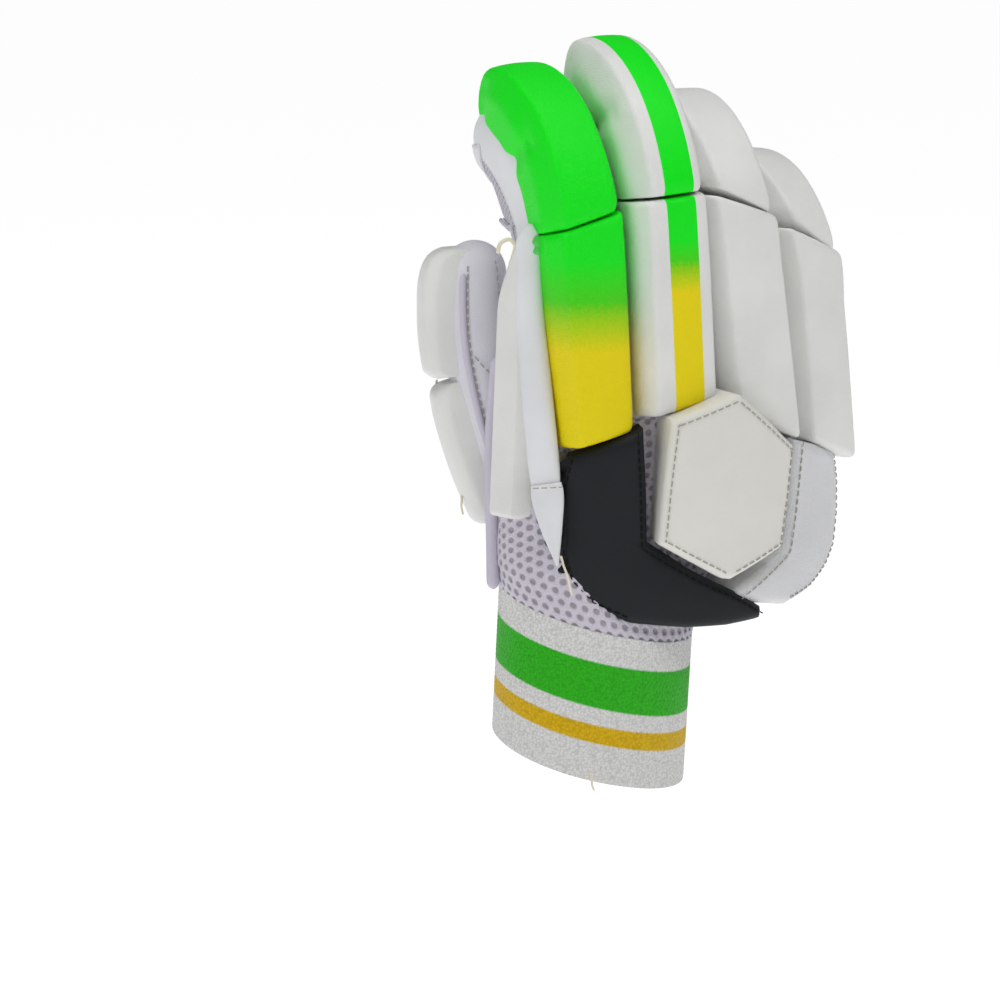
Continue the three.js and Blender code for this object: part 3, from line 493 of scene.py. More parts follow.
def pad_skin(name, finger, rows, start, length, finish, end_round, chamfer):
    """A pad's closed skin. Its section is a box with a chamfer at each shoulder and a crowned face, with
    small fillets; chamfer is how far it reaches in and down, in bevels. Towards both ends the height falls
    as a quarter circle, and the leather puckers in folds A exp(-travel / 4 mm) sin(k side)."""
    size = abs(length)
    reach = rows["along"][-1] * size
    travel, shrink = closing_rows(90, [0.03, 0.3, 0.6, 0.85, 0.96])
    travel = travel * reach
    part = travel / size
    centre, across, out, up = finger_line(finger, start + np.sign(length) * travel)
    near_joint = np.clip(1 - travel / TILT_REACH, 0, 1)[:, None]
    tilt = -np.sign(length) * math.radians(finger["first"]) / 2 * near_joint
    out, up = np.cos(tilt) * out + np.sin(tilt) * up, np.cos(tilt) * up - np.sin(tilt) * out
    surface = finger["wide"] * FINGER_DEPTH / 2
    rise = eased(part, rows["along"], rows["rise"])
    wide = eased(part, rows["along"], rows["wide"])
    spread = 1 + (finger["spread"] - 1) * np.clip(part, 0, 1) * float(length < 0)
    half = wide * spread * finger["pad_wide"] * PAD_WIDTH / 2
    drop = np.zeros_like(travel)
    pinch = np.zeros_like(travel)
    for gap, radius in ((travel, end_round[0]), (reach - travel, end_round[1])):
        drop += edge_drop(gap, radius)
        pinch += edge_drop(gap, 0.6 * radius) / 2
    high = surface + rise * PAD_THICKNESS - drop
    half = half - pinch
    low = 0.35 * surface
    bevel = PAD_BEVEL * rise
    section = filleted(mirrored([
        (0 * half, low + 0 * half), (half, low + 0 * half), (half, high - chamfer[1] * bevel),
        (half - chamfer[0] * bevel, high), (0.4 * half, high + 0.0006), (0 * half, high + 0.0009),
    ]), [0.004, 0.003, 0.003, 0.0017, 0.004, 0.004, 0.004, 0.0017, 0.003, 0.003])
    near = np.minimum(travel, reach - travel)[:, None]
    fold = np.sin(section[..., 0] / 0.00075 + 2 * np.sin(section[..., 1] / 0.002))
    fold = fold * np.exp(-near / FOLD_REACH)
    wall = np.clip((np.abs(section[..., 0]) - 0.8 * half[:, None]) / 0.002, 0, 1)
    ripple = np.sin(travel[:, None] / 0.0016 + 3 * np.sin(section[..., 1] / 0.004))
    ripple = ripple * wall * np.exp(-near / RIPPLE_REACH)
    dents = sum(np.exp(-((travel - place * reach) / DENT_REACH + section[..., 1].T / 0.02).T ** 2)
                for place in (0.45, 0.95))
    dents = dents * wall * (section[..., 0] < 0) * float(length > 0)
    section = resized(section, low, high, 1 + FOLD_SIZE * (fold + ripple) - DENT_SIZE * dents)
    section = resized(section, low, high, shrink[:, None])
    far_slant = finger["base_slant"] if length < 0 else 0
    slant = np.tan(np.radians(finger["joint_slant"]
                              + (far_slant - finger["joint_slant"]) * np.clip(part, 0, 1)))
    side, rise_out = section[..., 0], section[..., 1]
    points = (centre[:, None] + side[..., None] * across[:, None] + rise_out[..., None] * out[:, None]
              + (side * slant[:, None])[..., None] * up[:, None])
    marks = {"side": side, "height": points[..., 2], "face": (rise_out - surface) / PAD_THICKNESS}
    return grid_skin(name, points, finish, marks=marks)


JOINT_CREASE = 0.0008
for finger_name, finger in FINGERS.items():
    finish = {"index": green_pad_leather, "middle": striped_pad_leather}.get(finger_name, white_pad_leather)
    slot = "green_leather" if finger_name == "index" else "white_leather"
    tip = pad_skin(f"{finger_name}_tip_cushion", finger, TIP_ROWS, JOINT_CREASE / 2,
                   finger["length"] * FINGER_LENGTH, finish, (0.0024, 0.007), (1.15, 2.4))
    knuckle = pad_skin(f"{finger_name}_knuckle_cushion", finger, KNUCKLE_ROWS, -JOINT_CREASE / 2,
                       -finger["knuckle"] * HAND_LENGTH, finish, (0.0024, 0.0034), (0.85, 1.8))
    for piece, node in ((tip, f"{finger_name}_tip_pad"), (knuckle, f"{finger_name}_knuckle_pad")):
        dress(piece, slot, node)


# Back of the hand: three pads sewn over one curve. A hooked guard in smooth dark leather, a pale
# outer pad on the little finger's side, and a raised white hexagon on top. Each is foam under leather
# with a stitched edge.
BACK_RADIUS, BACK_DEPTH, BACK_SIDE, PAD_ROOT = 0.088, 0.026, 0.27, 0.014
PADS_SIDE = 0.03
BACK_HEIGHT, HEXAGON_HEIGHT = 0.012, 0.017


def on_back(arc, out, up, height=BACK_HEIGHT):
    """The point at an arc length round the back's circle, out from it and up: the angle is the arc length
    over the circle's radius plus the pad's height."""
    angle = arc / (BACK_RADIUS + height)
    radius = BACK_RADIUS + out
    return np.stack(np.broadcast_arrays(BACK_SIDE * HAND_WIDTH + radius * np.sin(angle),
                                        BACK_RADIUS - BACK_DEPTH - radius * np.cos(angle), up), -1)


def edge_distance(flat, outline):
    """Distance of each flat point from a closed outline: the least distance to any of its sides."""
    start, end = outline, np.roll(outline, -1, 0)
    side = end - start
    away = flat[..., None, :] - start
    part = np.clip((away * side).sum(-1) / (side ** 2).sum(-1), 0, 1)
    return np.linalg.norm(away - part[..., None] * side, axis=-1).min(-1)


def cushion_plate(name, rows, size, middle, height, finish, smooth=False, round_edge=0.004, crown=0.0012):
    """A pad between its left and right edges. On the flat pattern a point lies at left + s (right - left);
    its height falls towards the edge as a quarter circle of the distance to the outline, and rises to a
    low crown. Below the face's rim the walls go straight down, and a second sheet closes the pad."""
    table = np.array(rows)
    knots = np.linspace(0, 1, len(rows))
    s = 0.5 - 0.5 * np.cos(np.linspace(0, np.pi, 46))
    t = s if smooth else np.sort(np.concatenate([s, knots[1:-1]]))
    read = (lambda v: eased(t, knots, v)) if smooth else (lambda v: np.interp(t, knots, v))
    left, left_up, right, right_up = (read(table[:, k])[:, None] for k in range(4))
    arc = middle[0] + (left + (right - left) * s) * size[0]
    up = CUFF_LENGTH + middle[1] + (left_up + (right_up - left_up) * s) * size[1]
    flat = np.stack([arc, up], -1)
    rows_count, columns = arc.shape
    outline = np.concatenate([flat[0], flat[1:, -1], flat[-1, -2::-1], flat[-2:0:-1, 0]])
    gap = edge_distance(flat, outline)
    out = height - edge_drop(gap, round_edge) + crown * (1 - np.exp(-gap / 0.012))
    top = on_back(arc, out, up, height)
    cells = np.arange(rows_count * columns).reshape(rows_count, columns)
    rim = np.concatenate([cells[0], cells[1:, -1], cells[-1, -2::-1], cells[-2:0:-1, 0]])
    top_of_wall = height - round_edge
    wall = [on_back(outline[:, 0], top_of_wall - share * (PAD_ROOT + top_of_wall), outline[:, 1], height)
            for share in (0.2, 0.5, 0.8)]
    base = on_back(arc, np.full_like(arc, -PAD_ROOT), up, height)
    points = np.concatenate([top.reshape(-1, 3), *wall, base.reshape(-1, 3)])
    total, ring = rows_count * columns, len(rim)
    quads = [np.stack([cells[:-1, :-1], cells[:-1, 1:], cells[1:, 1:], cells[1:, :-1]], -1).reshape(-1, 4)]
    hoops = [rim] + [total + k * ring + np.arange(ring) for k in range(3)] + [rim + total + 3 * ring]
    for upper, lower in zip(hoops[:-1], hoops[1:]):
        quads.append(np.stack([upper, lower, np.roll(lower, -1), np.roll(upper, -1)], -1))
    quads.append(quads[0][:, ::-1] + total + 3 * ring)
    quads = np.concatenate(quads)
    corner = points[quads] - points.mean(0)
    normal = np.cross(corner[:, 2] - corner[:, 0], corner[:, 3] - corner[:, 1])
    if (normal * corner.mean(1)).sum() < 0:
        quads = quads[:, ::-1]
    mesh = bpy.data.meshes.new(name)
    mesh.from_pydata(points.tolist(), [], quads.tolist())
    mesh.polygons.foreach_set("use_smooth", np.ones(len(mesh.polygons), bool))
    mesh.update()
    return place_in_scene(name, mesh, finish)


GUARD_ROWS = [
    (-0.49, 0.505, -0.25, 0.582), (-0.512, 0.415, -0.239, 0.405), (-0.52, 0.31, -0.234, 0.24),
    (-0.514, 0.207, -0.067, 0.14), (-0.485, 0.125, 0.092, 0.063), (-0.415, 0.055, 0.177, 0.014),
    (-0.3, 0.003, 0.172, -0.024), (-0.098, -0.022, 0.04, -0.028),
]
OUTER_ROWS = [
    (0.325, 0.502, 0.6, 0.43), (0.31, 0.39, 0.65, 0.34), (0.295, 0.29, 0.66, 0.23),
    (0.272, 0.178, 0.62, 0.12),
    (0.17, 0.122, 0.525, 0.063), (0.066, 0.069, 0.413, 0.022), (0.152, 0.026, 0.285, 0),
]
HEXAGON_ROWS = [
    (0.01, 0.5, 0.06, 0.49), (-0.42, 0.385, 0.29, 0.33), (-0.445, 0.22, 0.51, 0.177),
    (-0.47, 0.02, 0.475, -0.08),
    (-0.5, -0.276, 0.42, -0.367), (-0.27, -0.39, 0.22, -0.43), (-0.06, -0.49, 0, -0.5),
]
guard_leather = leather("smooth_charcoal_leather", "#1D2024", grain=0.0011, depth=0.12, roughness=0.5,
                        shade="#15171A", coat=0.22)
outer_leather = leather("grained_light_grey_leather", "#E2E3E5", grain=0.0012, depth=0.5, roughness=0.5)
hexagon_leather = leather("warm_white_leather", "#E9E8E1", grain=0.0008, depth=0.25, roughness=0.45,
                          shade="#D2D1CA")
hand_size, pads_middle = (HAND_WIDTH, HAND_LENGTH), (PADS_SIDE * HAND_WIDTH, 0)
hexagon_size, hexagon_middle = (0.062, 0.073), (0.055 * HAND_WIDTH, 0.4 * HAND_LENGTH)
guard = cushion_plate("guard_cushion", GUARD_ROWS, hand_size, pads_middle, BACK_HEIGHT, guard_leather)
outer = cushion_plate("outer_cushion", OUTER_ROWS, hand_size, pads_middle, BACK_HEIGHT, outer_leather, True)
hexagon = cushion_plate("hexagon_cushion", HEXAGON_ROWS, hexagon_size, hexagon_middle, HEXAGON_HEIGHT,
                        hexagon_leather, False, 0.003, 0.001)
for piece, node, slot in ((guard, "hand_guard", "dark_leather"), (outer, "outer_pad", "white_leather"),
                          (hexagon, "hexagon_pad", "white_leather")):
    dress(piece, slot, node)


def edge_path(rows, column, size, middle, inset, count):
    """Flat points each millimetre along a plate's left (0) or right (2) edge, through the first count rows,
    moved inwards along the edge's own normal."""
    table = np.array(rows)[:count, column:column + 2]
    flat = np.stack([middle[0] + table[:, 0] * size[0], CUFF_LENGTH + middle[1] + table[:, 1] * size[1]],
                    -1)
    run = distance_run(flat)
    at = np.arange(0, run[-1], 0.001)
    path = np.stack([np.interp(at, run, flat[:, k]) for k in (0, 1)], -1)
    tangent = unit(np.gradient(path, axis=0))
    turned = np.stack([-tangent[:, 1], tangent[:, 0]], -1) * (1 if column == 0 else -1)
    return path + inset * turned


def back_normal(flat, height=BACK_HEIGHT):
    """Outward normals of the back's circle at flat points."""
    angle = flat[:, 0] / (BACK_RADIUS + height)
    return np.stack([np.sin(angle), -np.cos(angle), 0 * angle], -1)


black_thread = thread_finish("black_sewing_thread", "#0E0F11")
grey_thread = thread_finish("grey_sewing_thread", "#A9A79E")
cream_thread = thread_finish("cream_sewing_thread", "#E9E2CC")
for plate, rows, size, middle, height, inset, thread, slot, counts in (
        ("hexagon", HEXAGON_ROWS, hexagon_size, hexagon_middle, HEXAGON_HEIGHT, 0.0026, grey_thread,
         "white_leather", (7, 7)),
        ("guard", GUARD_ROWS, hand_size, pads_middle, BACK_HEIGHT, 0.0026, black_thread, "dark_leather",
         (7, 6)),
        ("outer", OUTER_ROWS, hand_size, pads_middle, BACK_HEIGHT, 0.0028, grey_thread, "white_leather",
         (6, 7))):
    for side, column, count in (("left", 0, counts[0]), ("right", 2, counts[1])):
        flat = edge_path(rows, column, size, middle, inset, count)
        points = on_back(flat[:, 0], height + 0.0002, flat[:, 1], height)
        stitches(f"{plate}_{side}_stitches", points, thread, back_normal(flat, height), slot)


# Frill: a narrow strip of black cloth, gathered into waves and sewn under the guard's outer edge. Its
# free edge swings out and in by A sin(2 pi s / wavelength), more the further it is from the seam.
cloth_finish, tree = new_finish("black_gathered_cloth")
weave = add_node(tree, "ShaderNodeTexNoise", {"Scale": 1400, "Detail": 2},
                 {"Vector": add_node(tree, "ShaderNodeTexCoord").outputs["Object"]})
weave_bump = add_node(tree, "ShaderNodeBump", {"Strength": 0.4, "Distance": 0.0002},
                      {"Height": weave.outputs[0]})
cloth = add_node(tree, "ShaderNodeBsdfPrincipled", {
    "Base Color": srgb("#121316"), "Roughness": 0.75, "Sheen Weight": 0.2, "Specular IOR Level": 0.25},
    {"Normal": weave_bump.outputs[0]})
add_node(tree, "ShaderNodeOutputMaterial", links={"Surface": cloth.outputs[0]})
FRILL_TUCK, FRILL_REACH, FRILL_WAVE, FRILL_LEAST = 0.0027, 0.0050, 0.0105, 0.0101
frill_path = edge_path(GUARD_ROWS, 0, hand_size, pads_middle, 0.001, 5)
frill_run = np.arange(len(frill_path)) * 0.001
fine_run = np.linspace(0, frill_run[-1], 260)
frill_seam = np.stack([np.interp(fine_run, frill_run, frill_path[:, k]) for k in (0, 1)], -1)
across_frill = np.linspace(0, 1, 9)[None]
wave = np.sin(2 * np.pi * fine_run / FRILL_WAVE + 1.0 * np.sin(fine_run / 0.011))[:, None]
fade_in, fade_out = np.clip(fine_run / 0.012, 0, 1), np.clip((fine_run[-1] - fine_run) / 0.02, 0.2, 1)
frill_reach = FRILL_REACH * (0.25 + 0.75 * fade_in * fade_out)[:, None] * (1 + 0.3 * np.roll(wave, 6, 0))
frill_out = np.interp(frill_seam[:, 1], [0.066, 0.095, 0.127], [0.0118, 0.0128, 0.0115])[:, None]
frill_points = on_back(frill_seam[:, :1] + FRILL_TUCK - across_frill * (FRILL_TUCK + frill_reach),
                       frill_out + (0.0017 * wave - 0.0015) * across_frill, frill_seam[:, 1:], BACK_HEIGHT)
frill = walled("gathered_frill", frill_points, cloth_finish, (0.02, 0.03, 0.1), 0.0008)
dress(frill, "frill_cloth", "guard_frill")


# Hand: one body of the glove from the cuff to the fingers' roots. The palm and its heel are soft
# pale hide; the wrist, the back and the little finger's side are spacer mesh, which lets air through.
# All are a couple of millimetres thick and are sewn together along welted seams.
SHELL_WALL = 0.002
CUFF_WIDTH, CUFF_DEPTH = 0.078, 0.064
CUFF_SLOPE, CUFF_LEAN, CUFF_DROP = (math.tan(math.radians(turn)) for turn in (14, 3, 10))
HAND_TABLE = dict(
    up=[0.0, 0.1, 0.24, 0.42, 0.68, 0.86, 0.95], left=[-0.285, -0.3, -0.3, -0.265, -0.225, -0.205, -0.19],
    right=[0.335, 0.37, 0.56, 0.7, 0.79, 0.8, 0.77],
    back=[-0.696, -0.62, -0.57, -0.53, -0.46, -0.37, -0.28],
    palm=[0.696, 0.64, 0.6, 0.54, 0.46, 0.39, 0.33], slant=[1.0, 0.9, 0.6, 0.3, 0.3, 0.45, 0.55],
    square=[0.95, 0.95, 1.06, 1.02, 0.9, 0.82, 0.8], drop=[1.0, 0.4, 0.1, 0, 0, 0, 0.05])


def hand_section(up):
    """The hand's oval at shares up its length, eased between the table's rows: its halves and middle in
    metres, its slants and its squareness."""
    read = {key: eased(up, HAND_TABLE["up"], HAND_TABLE[key]) for key in HAND_TABLE if key != "up"}
    read["half_width"] = (read["right"] - read["left"]) / 2 * HAND_WIDTH
    read["half_depth"] = (read["palm"] - read["back"]) / 2 * HAND_DEPTH
    read["middle_x"] = (read["right"] + read["left"]) / 2 * HAND_WIDTH
    read["middle_y"] = (read["palm"] + read["back"]) / 2 * HAND_DEPTH
    return read


def hand_surface(up, angle, grow=0.0):
    """Points of the hand's skin at shares up its length and angles round it: 0 is the little finger's side,
    a quarter turn the back."""
    up, angle = np.broadcast_arrays(np.asarray(up, float), np.asarray(angle, float))
    read = hand_section(up)
    wide, deep = oval(angle, read["square"])
    half_depth = read["half_depth"] + grow
    x = read["middle_x"] + (read["half_width"] + grow) * wide
    lower = CUFF_SLOPE * read["slant"] * x + CUFF_DROP * read["drop"] * half_depth * deep
    return np.stack([x, read["middle_y"] - half_depth * deep, CUFF_LENGTH + up * HAND_LENGTH - lower], -1)


def net_holes(along, round_, pitch, hole):
    """1 at the middle of each hole and 0 between them: distance to the nearest point of a lattice of
    equilateral triangles with that pitch, as two interleaved square grids."""
    row, soft = pitch * math.sqrt(3), 0.0004

    def gap(dx, dy):
        x = (round_ - dx + pitch / 2) % pitch - pitch / 2
        y = (along - dy + row / 2) % row - row / 2
        return np.hypot(x, y)

    near = np.minimum(gap(0, 0), gap(pitch / 2, row / 2))
    return np.clip((hole / 2 + soft - near) / (2 * soft), 0, 1)


def lattice_mask(tree, pitch, hole, soft=0.0003):
    """1 inside round holes on a lattice of equilateral triangles, laid out on the attributes along and
    round: the lesser distance to two interleaved lattices of rectangles, compared with the hole's radius."""
    place = add_node(tree, "ShaderNodeCombineXYZ", links={
        key: add_node(tree, "ShaderNodeAttribute", {"attribute_name": mark}).outputs["Fac"]
        for key, mark in ((0, "round"), (1, "along"))}).outputs[0]
    half = (pitch / 2, pitch * math.sqrt(3) / 2, 1.0)
    gaps = []
    for shift in ((0.0, 0.0, 0.0), half):
        moved = add_node(tree, "ShaderNodeVectorMath", {"operation": "ADD", 1: shift},
                         {0: place}).outputs[0]
        cell = add_node(tree, "ShaderNodeVectorMath", {
            "operation": "WRAP", 1: half, 2: tuple(-size for size in half)}, {0: moved}).outputs[0]
        flat = add_node(tree, "ShaderNodeVectorMath", {"operation": "MULTIPLY", 1: (1.0, 1.0, 0.0)},
                        {0: cell}).outputs[0]
        gaps.append(add_node(tree, "ShaderNodeVectorMath", {"operation": "LENGTH"},
                             {0: flat}).outputs["Value"])
    near = add_node(tree, "ShaderNodeMath", {"operation": "MINIMUM"}, {0: gaps[0], 1: gaps[1]}).outputs[0]
    return add_node(tree, "ShaderNodeMapRange", {1: hole / 2 - soft, 2: hole / 2 + soft, 3: 1.0, 4: 0.0},
                    {0: near}).outputs[0]


def spacer_mesh_finish(name, pitch, opening, colour="#DDD8E3", hole="#A8A2AD", thread=0.0007):
    """Spacer mesh: a matte knit of fine lilac-grey yarn with round holes and a soft sheen. The gaps between
    yarns are darkened with painted shade, and the holes' darker colour is painted shade inside them.
    """
    material, tree = new_finish(name)
    place = add_node(tree, "ShaderNodeTexCoord").outputs["Object"]
    yarn = add_node(tree, "ShaderNodeTexVoronoi", {"Scale": 1 / thread}, {"Vector": place})
    # Painted shade: the yarn's colour darkens towards the edge of each tiny cell, between the yarns.
    yarn_gap_shade = add_node(tree, "ShaderNodeMapRange", {1: 0.0, 2: 0.75, 3: 0.0, 4: 0.35}, {0: yarn.outputs[0]})
    base = add_node(tree, "ShaderNodeMix", {"data_type": "RGBA", 6: srgb(colour), 7: srgb("#B3ADBB")},
                    {0: yarn_gap_shade.outputs[0]}).outputs[2]
    mask = lattice_mask(tree, pitch, opening)
    # The holes take a darker colour, which is painted shade inside them.
    base = blend_colour(tree, mask, base, hole)
    relief = add_node(tree, "ShaderNodeMath", {"operation": "MULTIPLY_ADD", 1: -2.0},
                      {0: mask, 2: yarn.outputs[0]})
    bump = add_node(tree, "ShaderNodeBump", {"Strength": 0.5, "Distance": 0.0004},
                    {"Height": relief.outputs[0]})
    shader = add_node(tree, "ShaderNodeBsdfPrincipled",
                      {"Roughness": 0.85, "Sheen Weight": 0.25, "Sheen Roughness": 0.5,
                       "Specular IOR Level": 0.2},
                      {"Base Color": base, "Normal": bump.outputs[0]})
    add_node(tree, "ShaderNodeOutputMaterial", links={"Surface": shader.outputs[0]})
    return material


def perforated(tree, under):
    """Air holes punched in staggered rows through the palm, between 18 and 52 mm from its lower seam; their
    dark grey colour is painted shade inside the holes.
    """
    dots = lattice_mask(tree, 0.0055, 0.0011, 0.00015)
    zone = add_node(tree, "ShaderNodeMath", {"operation": "MULTIPLY"}, {
        0: dots, 1: mark_mask(tree, "along", 0.018, 0.052, 0.001)}).outputs[0]
    zone = add_node(tree, "ShaderNodeMath", {"operation": "MULTIPLY"}, {
        0: zone, 1: mark_mask(tree, "round", -0.026, 0.026, 0.001)}).outputs[0]
    # The holes' dark grey is painted shade inside them.
    return blend_colour(tree, zone, under, "#55555C")


def surface_lengths(points):
    """Arc lengths up and round a grid of points, the latter from its middle column."""
    round_ = np.pad(np.cumsum(np.linalg.norm(np.diff(points, axis=1), axis=-1), 1), ((0, 0), (1, 0)))
    along = np.pad(np.cumsum(np.linalg.norm(np.diff(points, axis=0), axis=-1), 0), ((1, 0), (0, 0)))
    return {"along": along, "round": round_ - round_[:, points.shape[1] // 2][:, None]}


MESH_PITCH, MESH_HOLE = 0.0047, 0.0025
wrist_finish = spacer_mesh_finish("lilac_spacer_mesh", MESH_PITCH, MESH_HOLE)
palm_finish = leather("pale_palm_hide", "#DCDDE2", grain=0.0014, depth=0.3, roughness=0.62, shade="#BDBEC6")
perforated_finish = leather("perforated_palm_hide", "#DCDDE2", grain=0.0014, depth=0.3, roughness=0.62,
                            shade="#BDBEC6", paint=perforated)


def seam_angles(up):
    """Angles of the palm's two edges: where the oval crosses the seam's depth on the thumb's side, and
    where it crosses the palm's outer limit on the little finger's side."""
    read = hand_section(up)
    power = 1 / read["square"]
    rise = np.clip((0.12 * HAND_DEPTH - read["middle_y"]) / read["half_depth"], 0, 1) ** power
    limit = np.interp(up, [0.02, 0.3, 0.6, 1.2], [0.6, 0.66, 0.7, 0.69]) * HAND_WIDTH
    share = np.clip((limit - read["middle_x"]) / read["half_width"], 0, 1) ** power
    return np.pi + np.arcsin(rise), 2 * np.pi - np.maximum(np.arccos(share), np.arcsin(rise))


def hand_patch(name, up_from, up_to, of_palm, finish, shape, relief=0.0):
    """A patch of the hand's skin between two heights, from seam to seam over the palm or over the back.
    relief is the depth of the mesh's holes."""
    up = np.linspace(up_from, up_to, shape[0])[:, None]
    thumb_side, outer_side = seam_angles(up)
    low, high = (thumb_side, outer_side) if of_palm else (outer_side - 2 * np.pi, thumb_side)
    angle = low + (high - low) * np.linspace(0, 1, shape[1])
    points = hand_surface(up, angle)
    marks = surface_lengths(points)
    if relief:
        holes = net_holes(marks["along"], marks["round"], MESH_PITCH, MESH_HOLE)
        points = hand_surface(up, angle, -relief * holes)
    inside = (0.25 * HAND_WIDTH, 0, CUFF_LENGTH + 0.5 * (up_from + up_to) * HAND_LENGTH)
    return walled(name, points, finish, inside, SHELL_WALL, marks)


HEEL_SHARE, WRIST_SHARE, BACK_SHARE, HAND_TOP = 0.004, 0.34, 0.60, 0.95
wrist = hand_patch("wrist_spacer_mesh", HEEL_SHARE, BACK_SHARE, False, wrist_finish, (180, 400), 0.0006)
heel = hand_patch("palm_hide_heel", HEEL_SHARE, WRIST_SHARE, True, palm_finish, (30, 70))
palm = hand_patch("palm_hide", WRIST_SHARE, HAND_TOP, True, perforated_finish, (60, 90))
back = hand_patch("hand_back_mesh", BACK_SHARE, HAND_TOP, False, wrist_finish, (40, 120))
crown_rise = np.array([0, 0.015, 0.025, 0.03]) * HAND_LENGTH
crown_scale = np.array([1.0, 0.86, 0.6, 0.25])
crown_rows = hand_surface(np.full((4, 1), HAND_TOP), np.linspace(0, 2 * np.pi, 73)[:-1])
crown_middle = crown_rows.mean(1, keepdims=True)
crown_rows = crown_middle + (crown_rows - crown_middle) * crown_scale[:, None, None]
crown_rows[..., 2] += crown_rise[:, None]
crown = grid_skin("finger_roots_lining", crown_rows, palm_finish, close=(False, True),
                  inside=crown_middle[0, 0] - [0, 0, 0.02])
shell(crown, SHELL_WALL)
dress(wrist, "spacer_mesh", "wrist_mesh", "outer_side")
dress(heel, "palm_hide", "heel_leather")
dress(palm, "palm_hide", "palm_leather")
dress(back, "spacer_mesh", "hand_back")
dress(crown, "palm_hide")
# The lining of the fingers' roots stands for no solid.
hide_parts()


# Finger stalls: each is a tube with a white leather band beside the pad, spacer mesh behind it, and
# the palm hide's tongue up the front of the finger.
FINGER_CAP = 0.3 * FINGER_WIDTH
# Its darker hole colour, #9D98A4, is painted shade inside the holes; its yarns carry the same painted shade
# between them.
tip_mesh_finish = spacer_mesh_finish("fine_lilac_mesh", 0.0026, 0.0013, "#D9D5E0", "#9D98A4", 0.0006)
band_finish = leather("white_band_leather", "#EBECEF", grain=0.0008, depth=0.25, roughness=0.5)


def finger_surface(finger, along, angle, grow=0.0):
    """Points of a finger stall's skin at lengths past its joint and angles round it; past the last bend
    the oval shrinks to close the fingertip. The palm side is deeper by belly sin(pi along / length)."""
    length = finger["length"] * FINGER_LENGTH
    over = np.clip((along - length) / FINGER_CAP, 0, 1)
    scale = np.sqrt(np.clip(1 - over ** 2.2, 0, 1)) * 0.98 + 0.02
    centre, across, out, up = finger_line(finger, np.minimum(along, length))
    centre = centre + np.maximum(along - length, 0)[:, None] * up
    wide, deep = oval(angle, 0.85)
    half_width = (finger["wide"] * FINGER_WIDTH / 2 + grow) * scale
    half_depth = (finger["wide"] * FINGER_DEPTH / 2 + grow) * scale
    swell = finger["belly"] * np.sin(np.pi * np.clip(along / length * 0.8 + 0.2, 0, 1))
    depth = half_depth[:, None] * deep + swell[:, None] * np.minimum(deep, 0)
    return (centre[:, None] + (half_width[:, None] * wide)[..., None] * across[:, None]
            + depth[..., None] * out[:, None])


STALL_WALL, TONGUE_WALL, TONGUE_LIFT = 0.0016, 0.0010, 0.0009
BAND_EDGE, TONGUE_HALF, PALM_TURN = math.radians(-14), math.radians(46), 1.5 * np.pi
for finger_name, finger in FINGERS.items():
    length = finger["length"] * FINGER_LENGTH
    root = -(finger["up"] - finger["web"] + 0.08) * HAND_LENGTH
    along = np.concatenate([np.linspace(root, 0, 24), np.linspace(0, length, 40)[1:],
                            length + FINGER_CAP * np.sin(np.linspace(0, np.pi / 2, 12)[1:])])
    inner = finger_line(finger, [0.3 * length])[0][0]
    for part, low, high, finish, slot, node in (
            ("band", BAND_EDGE, np.pi - BAND_EDGE, band_finish, "white_leather", "side_band"),
            ("mesh", np.pi - BAND_EDGE, 2 * np.pi + BAND_EDGE, tip_mesh_finish, "spacer_mesh",
             "mesh_sleeve")):
        angle = low + (high - low) * np.linspace(0, 1, 40) + 0 * along[:, None]
        points = finger_surface(finger, along, angle, -0.0002)
        marks = surface_lengths(points)
        piece = walled(f"{finger_name}_stall_{part}", points, finish, inner, STALL_WALL, marks)
        dress(piece, slot, f"{finger_name}_{node}")
    reach = along[along <= finger["tongue"] * length + 1e-9]
    narrow = np.sqrt(np.clip(1 - np.clip((reach - reach[-1] + 0.008) / 0.0085, 0, 1) ** 2, 0, 1))
    half = TONGUE_HALF * narrow[:, None]
    points = finger_surface(finger, reach, PALM_TURN + half * np.linspace(-1, 1, 24), TONGUE_LIFT)
    tongue = walled(f"{finger_name}_palm_tongue", points, palm_finish, inner, TONGUE_WALL)
    bound = finger_surface(finger, reach, PALM_TURN + 0.97 * half * np.array([-1, 1]), 0.0014)
    bound = np.concatenate([bound[:, 0], bound[::-1, 1]])
    palm_side = -finger_line(finger, reach)[2]
    dress(cord_run(f"{finger_name}_tongue_piping", bound[::2], 0.0009, palm_finish, palm_side[0], 120),
          "palm_hide")
    for side, sign in (("left", -1), ("right", 1)):
        seam = finger_surface(finger, reach, PALM_TURN + 0.8 * half * sign, 0.0011)[:, 0]
        stitches(f"{finger_name}_tongue_stitches_{side}", seam, grey_thread, palm_side, "palm_hide")
    tip_along = length + FINGER_CAP * np.sin(np.linspace(-0.5, 1.45, 20))
    angle = np.linspace(np.pi, 2 * np.pi, 40) + 0 * tip_along[:, None]
    points = finger_surface(finger, tip_along, angle, 0.0007)
    dress(walled(f"{finger_name}_tip_binding", points, band_finish, inner, TONGUE_WALL), "white_leather")
    dress(tongue, "palm_hide", f"{finger_name}_tongue")


# Thumb: a leather stall that leans out behind the hand, with a mesh panel on the side that faces the
# palm and two thin foam pads sewn along its outer edge.
THUMB_LENGTH, THUMB_WIDTH, THUMB_DEPTH = 0.150, 0.033, 0.028
THUMB_TOP, THUMB_CAP = 0.86, 0.09
THUMB_TABLE = dict(up=[0, 0.13, 0.33, 0.57, 0.77, 0.88, 0.94],
                   side=[0.02, -0.05, -0.15, -0.225, -0.25, -0.248, -0.245],
                   depth=[0.15, 0.4, 0.64, 0.78, 0.86, 0.89, 0.905],
                   scale=[0.72, 0.92, 1, 1, 0.96, 0.82, 0.5])


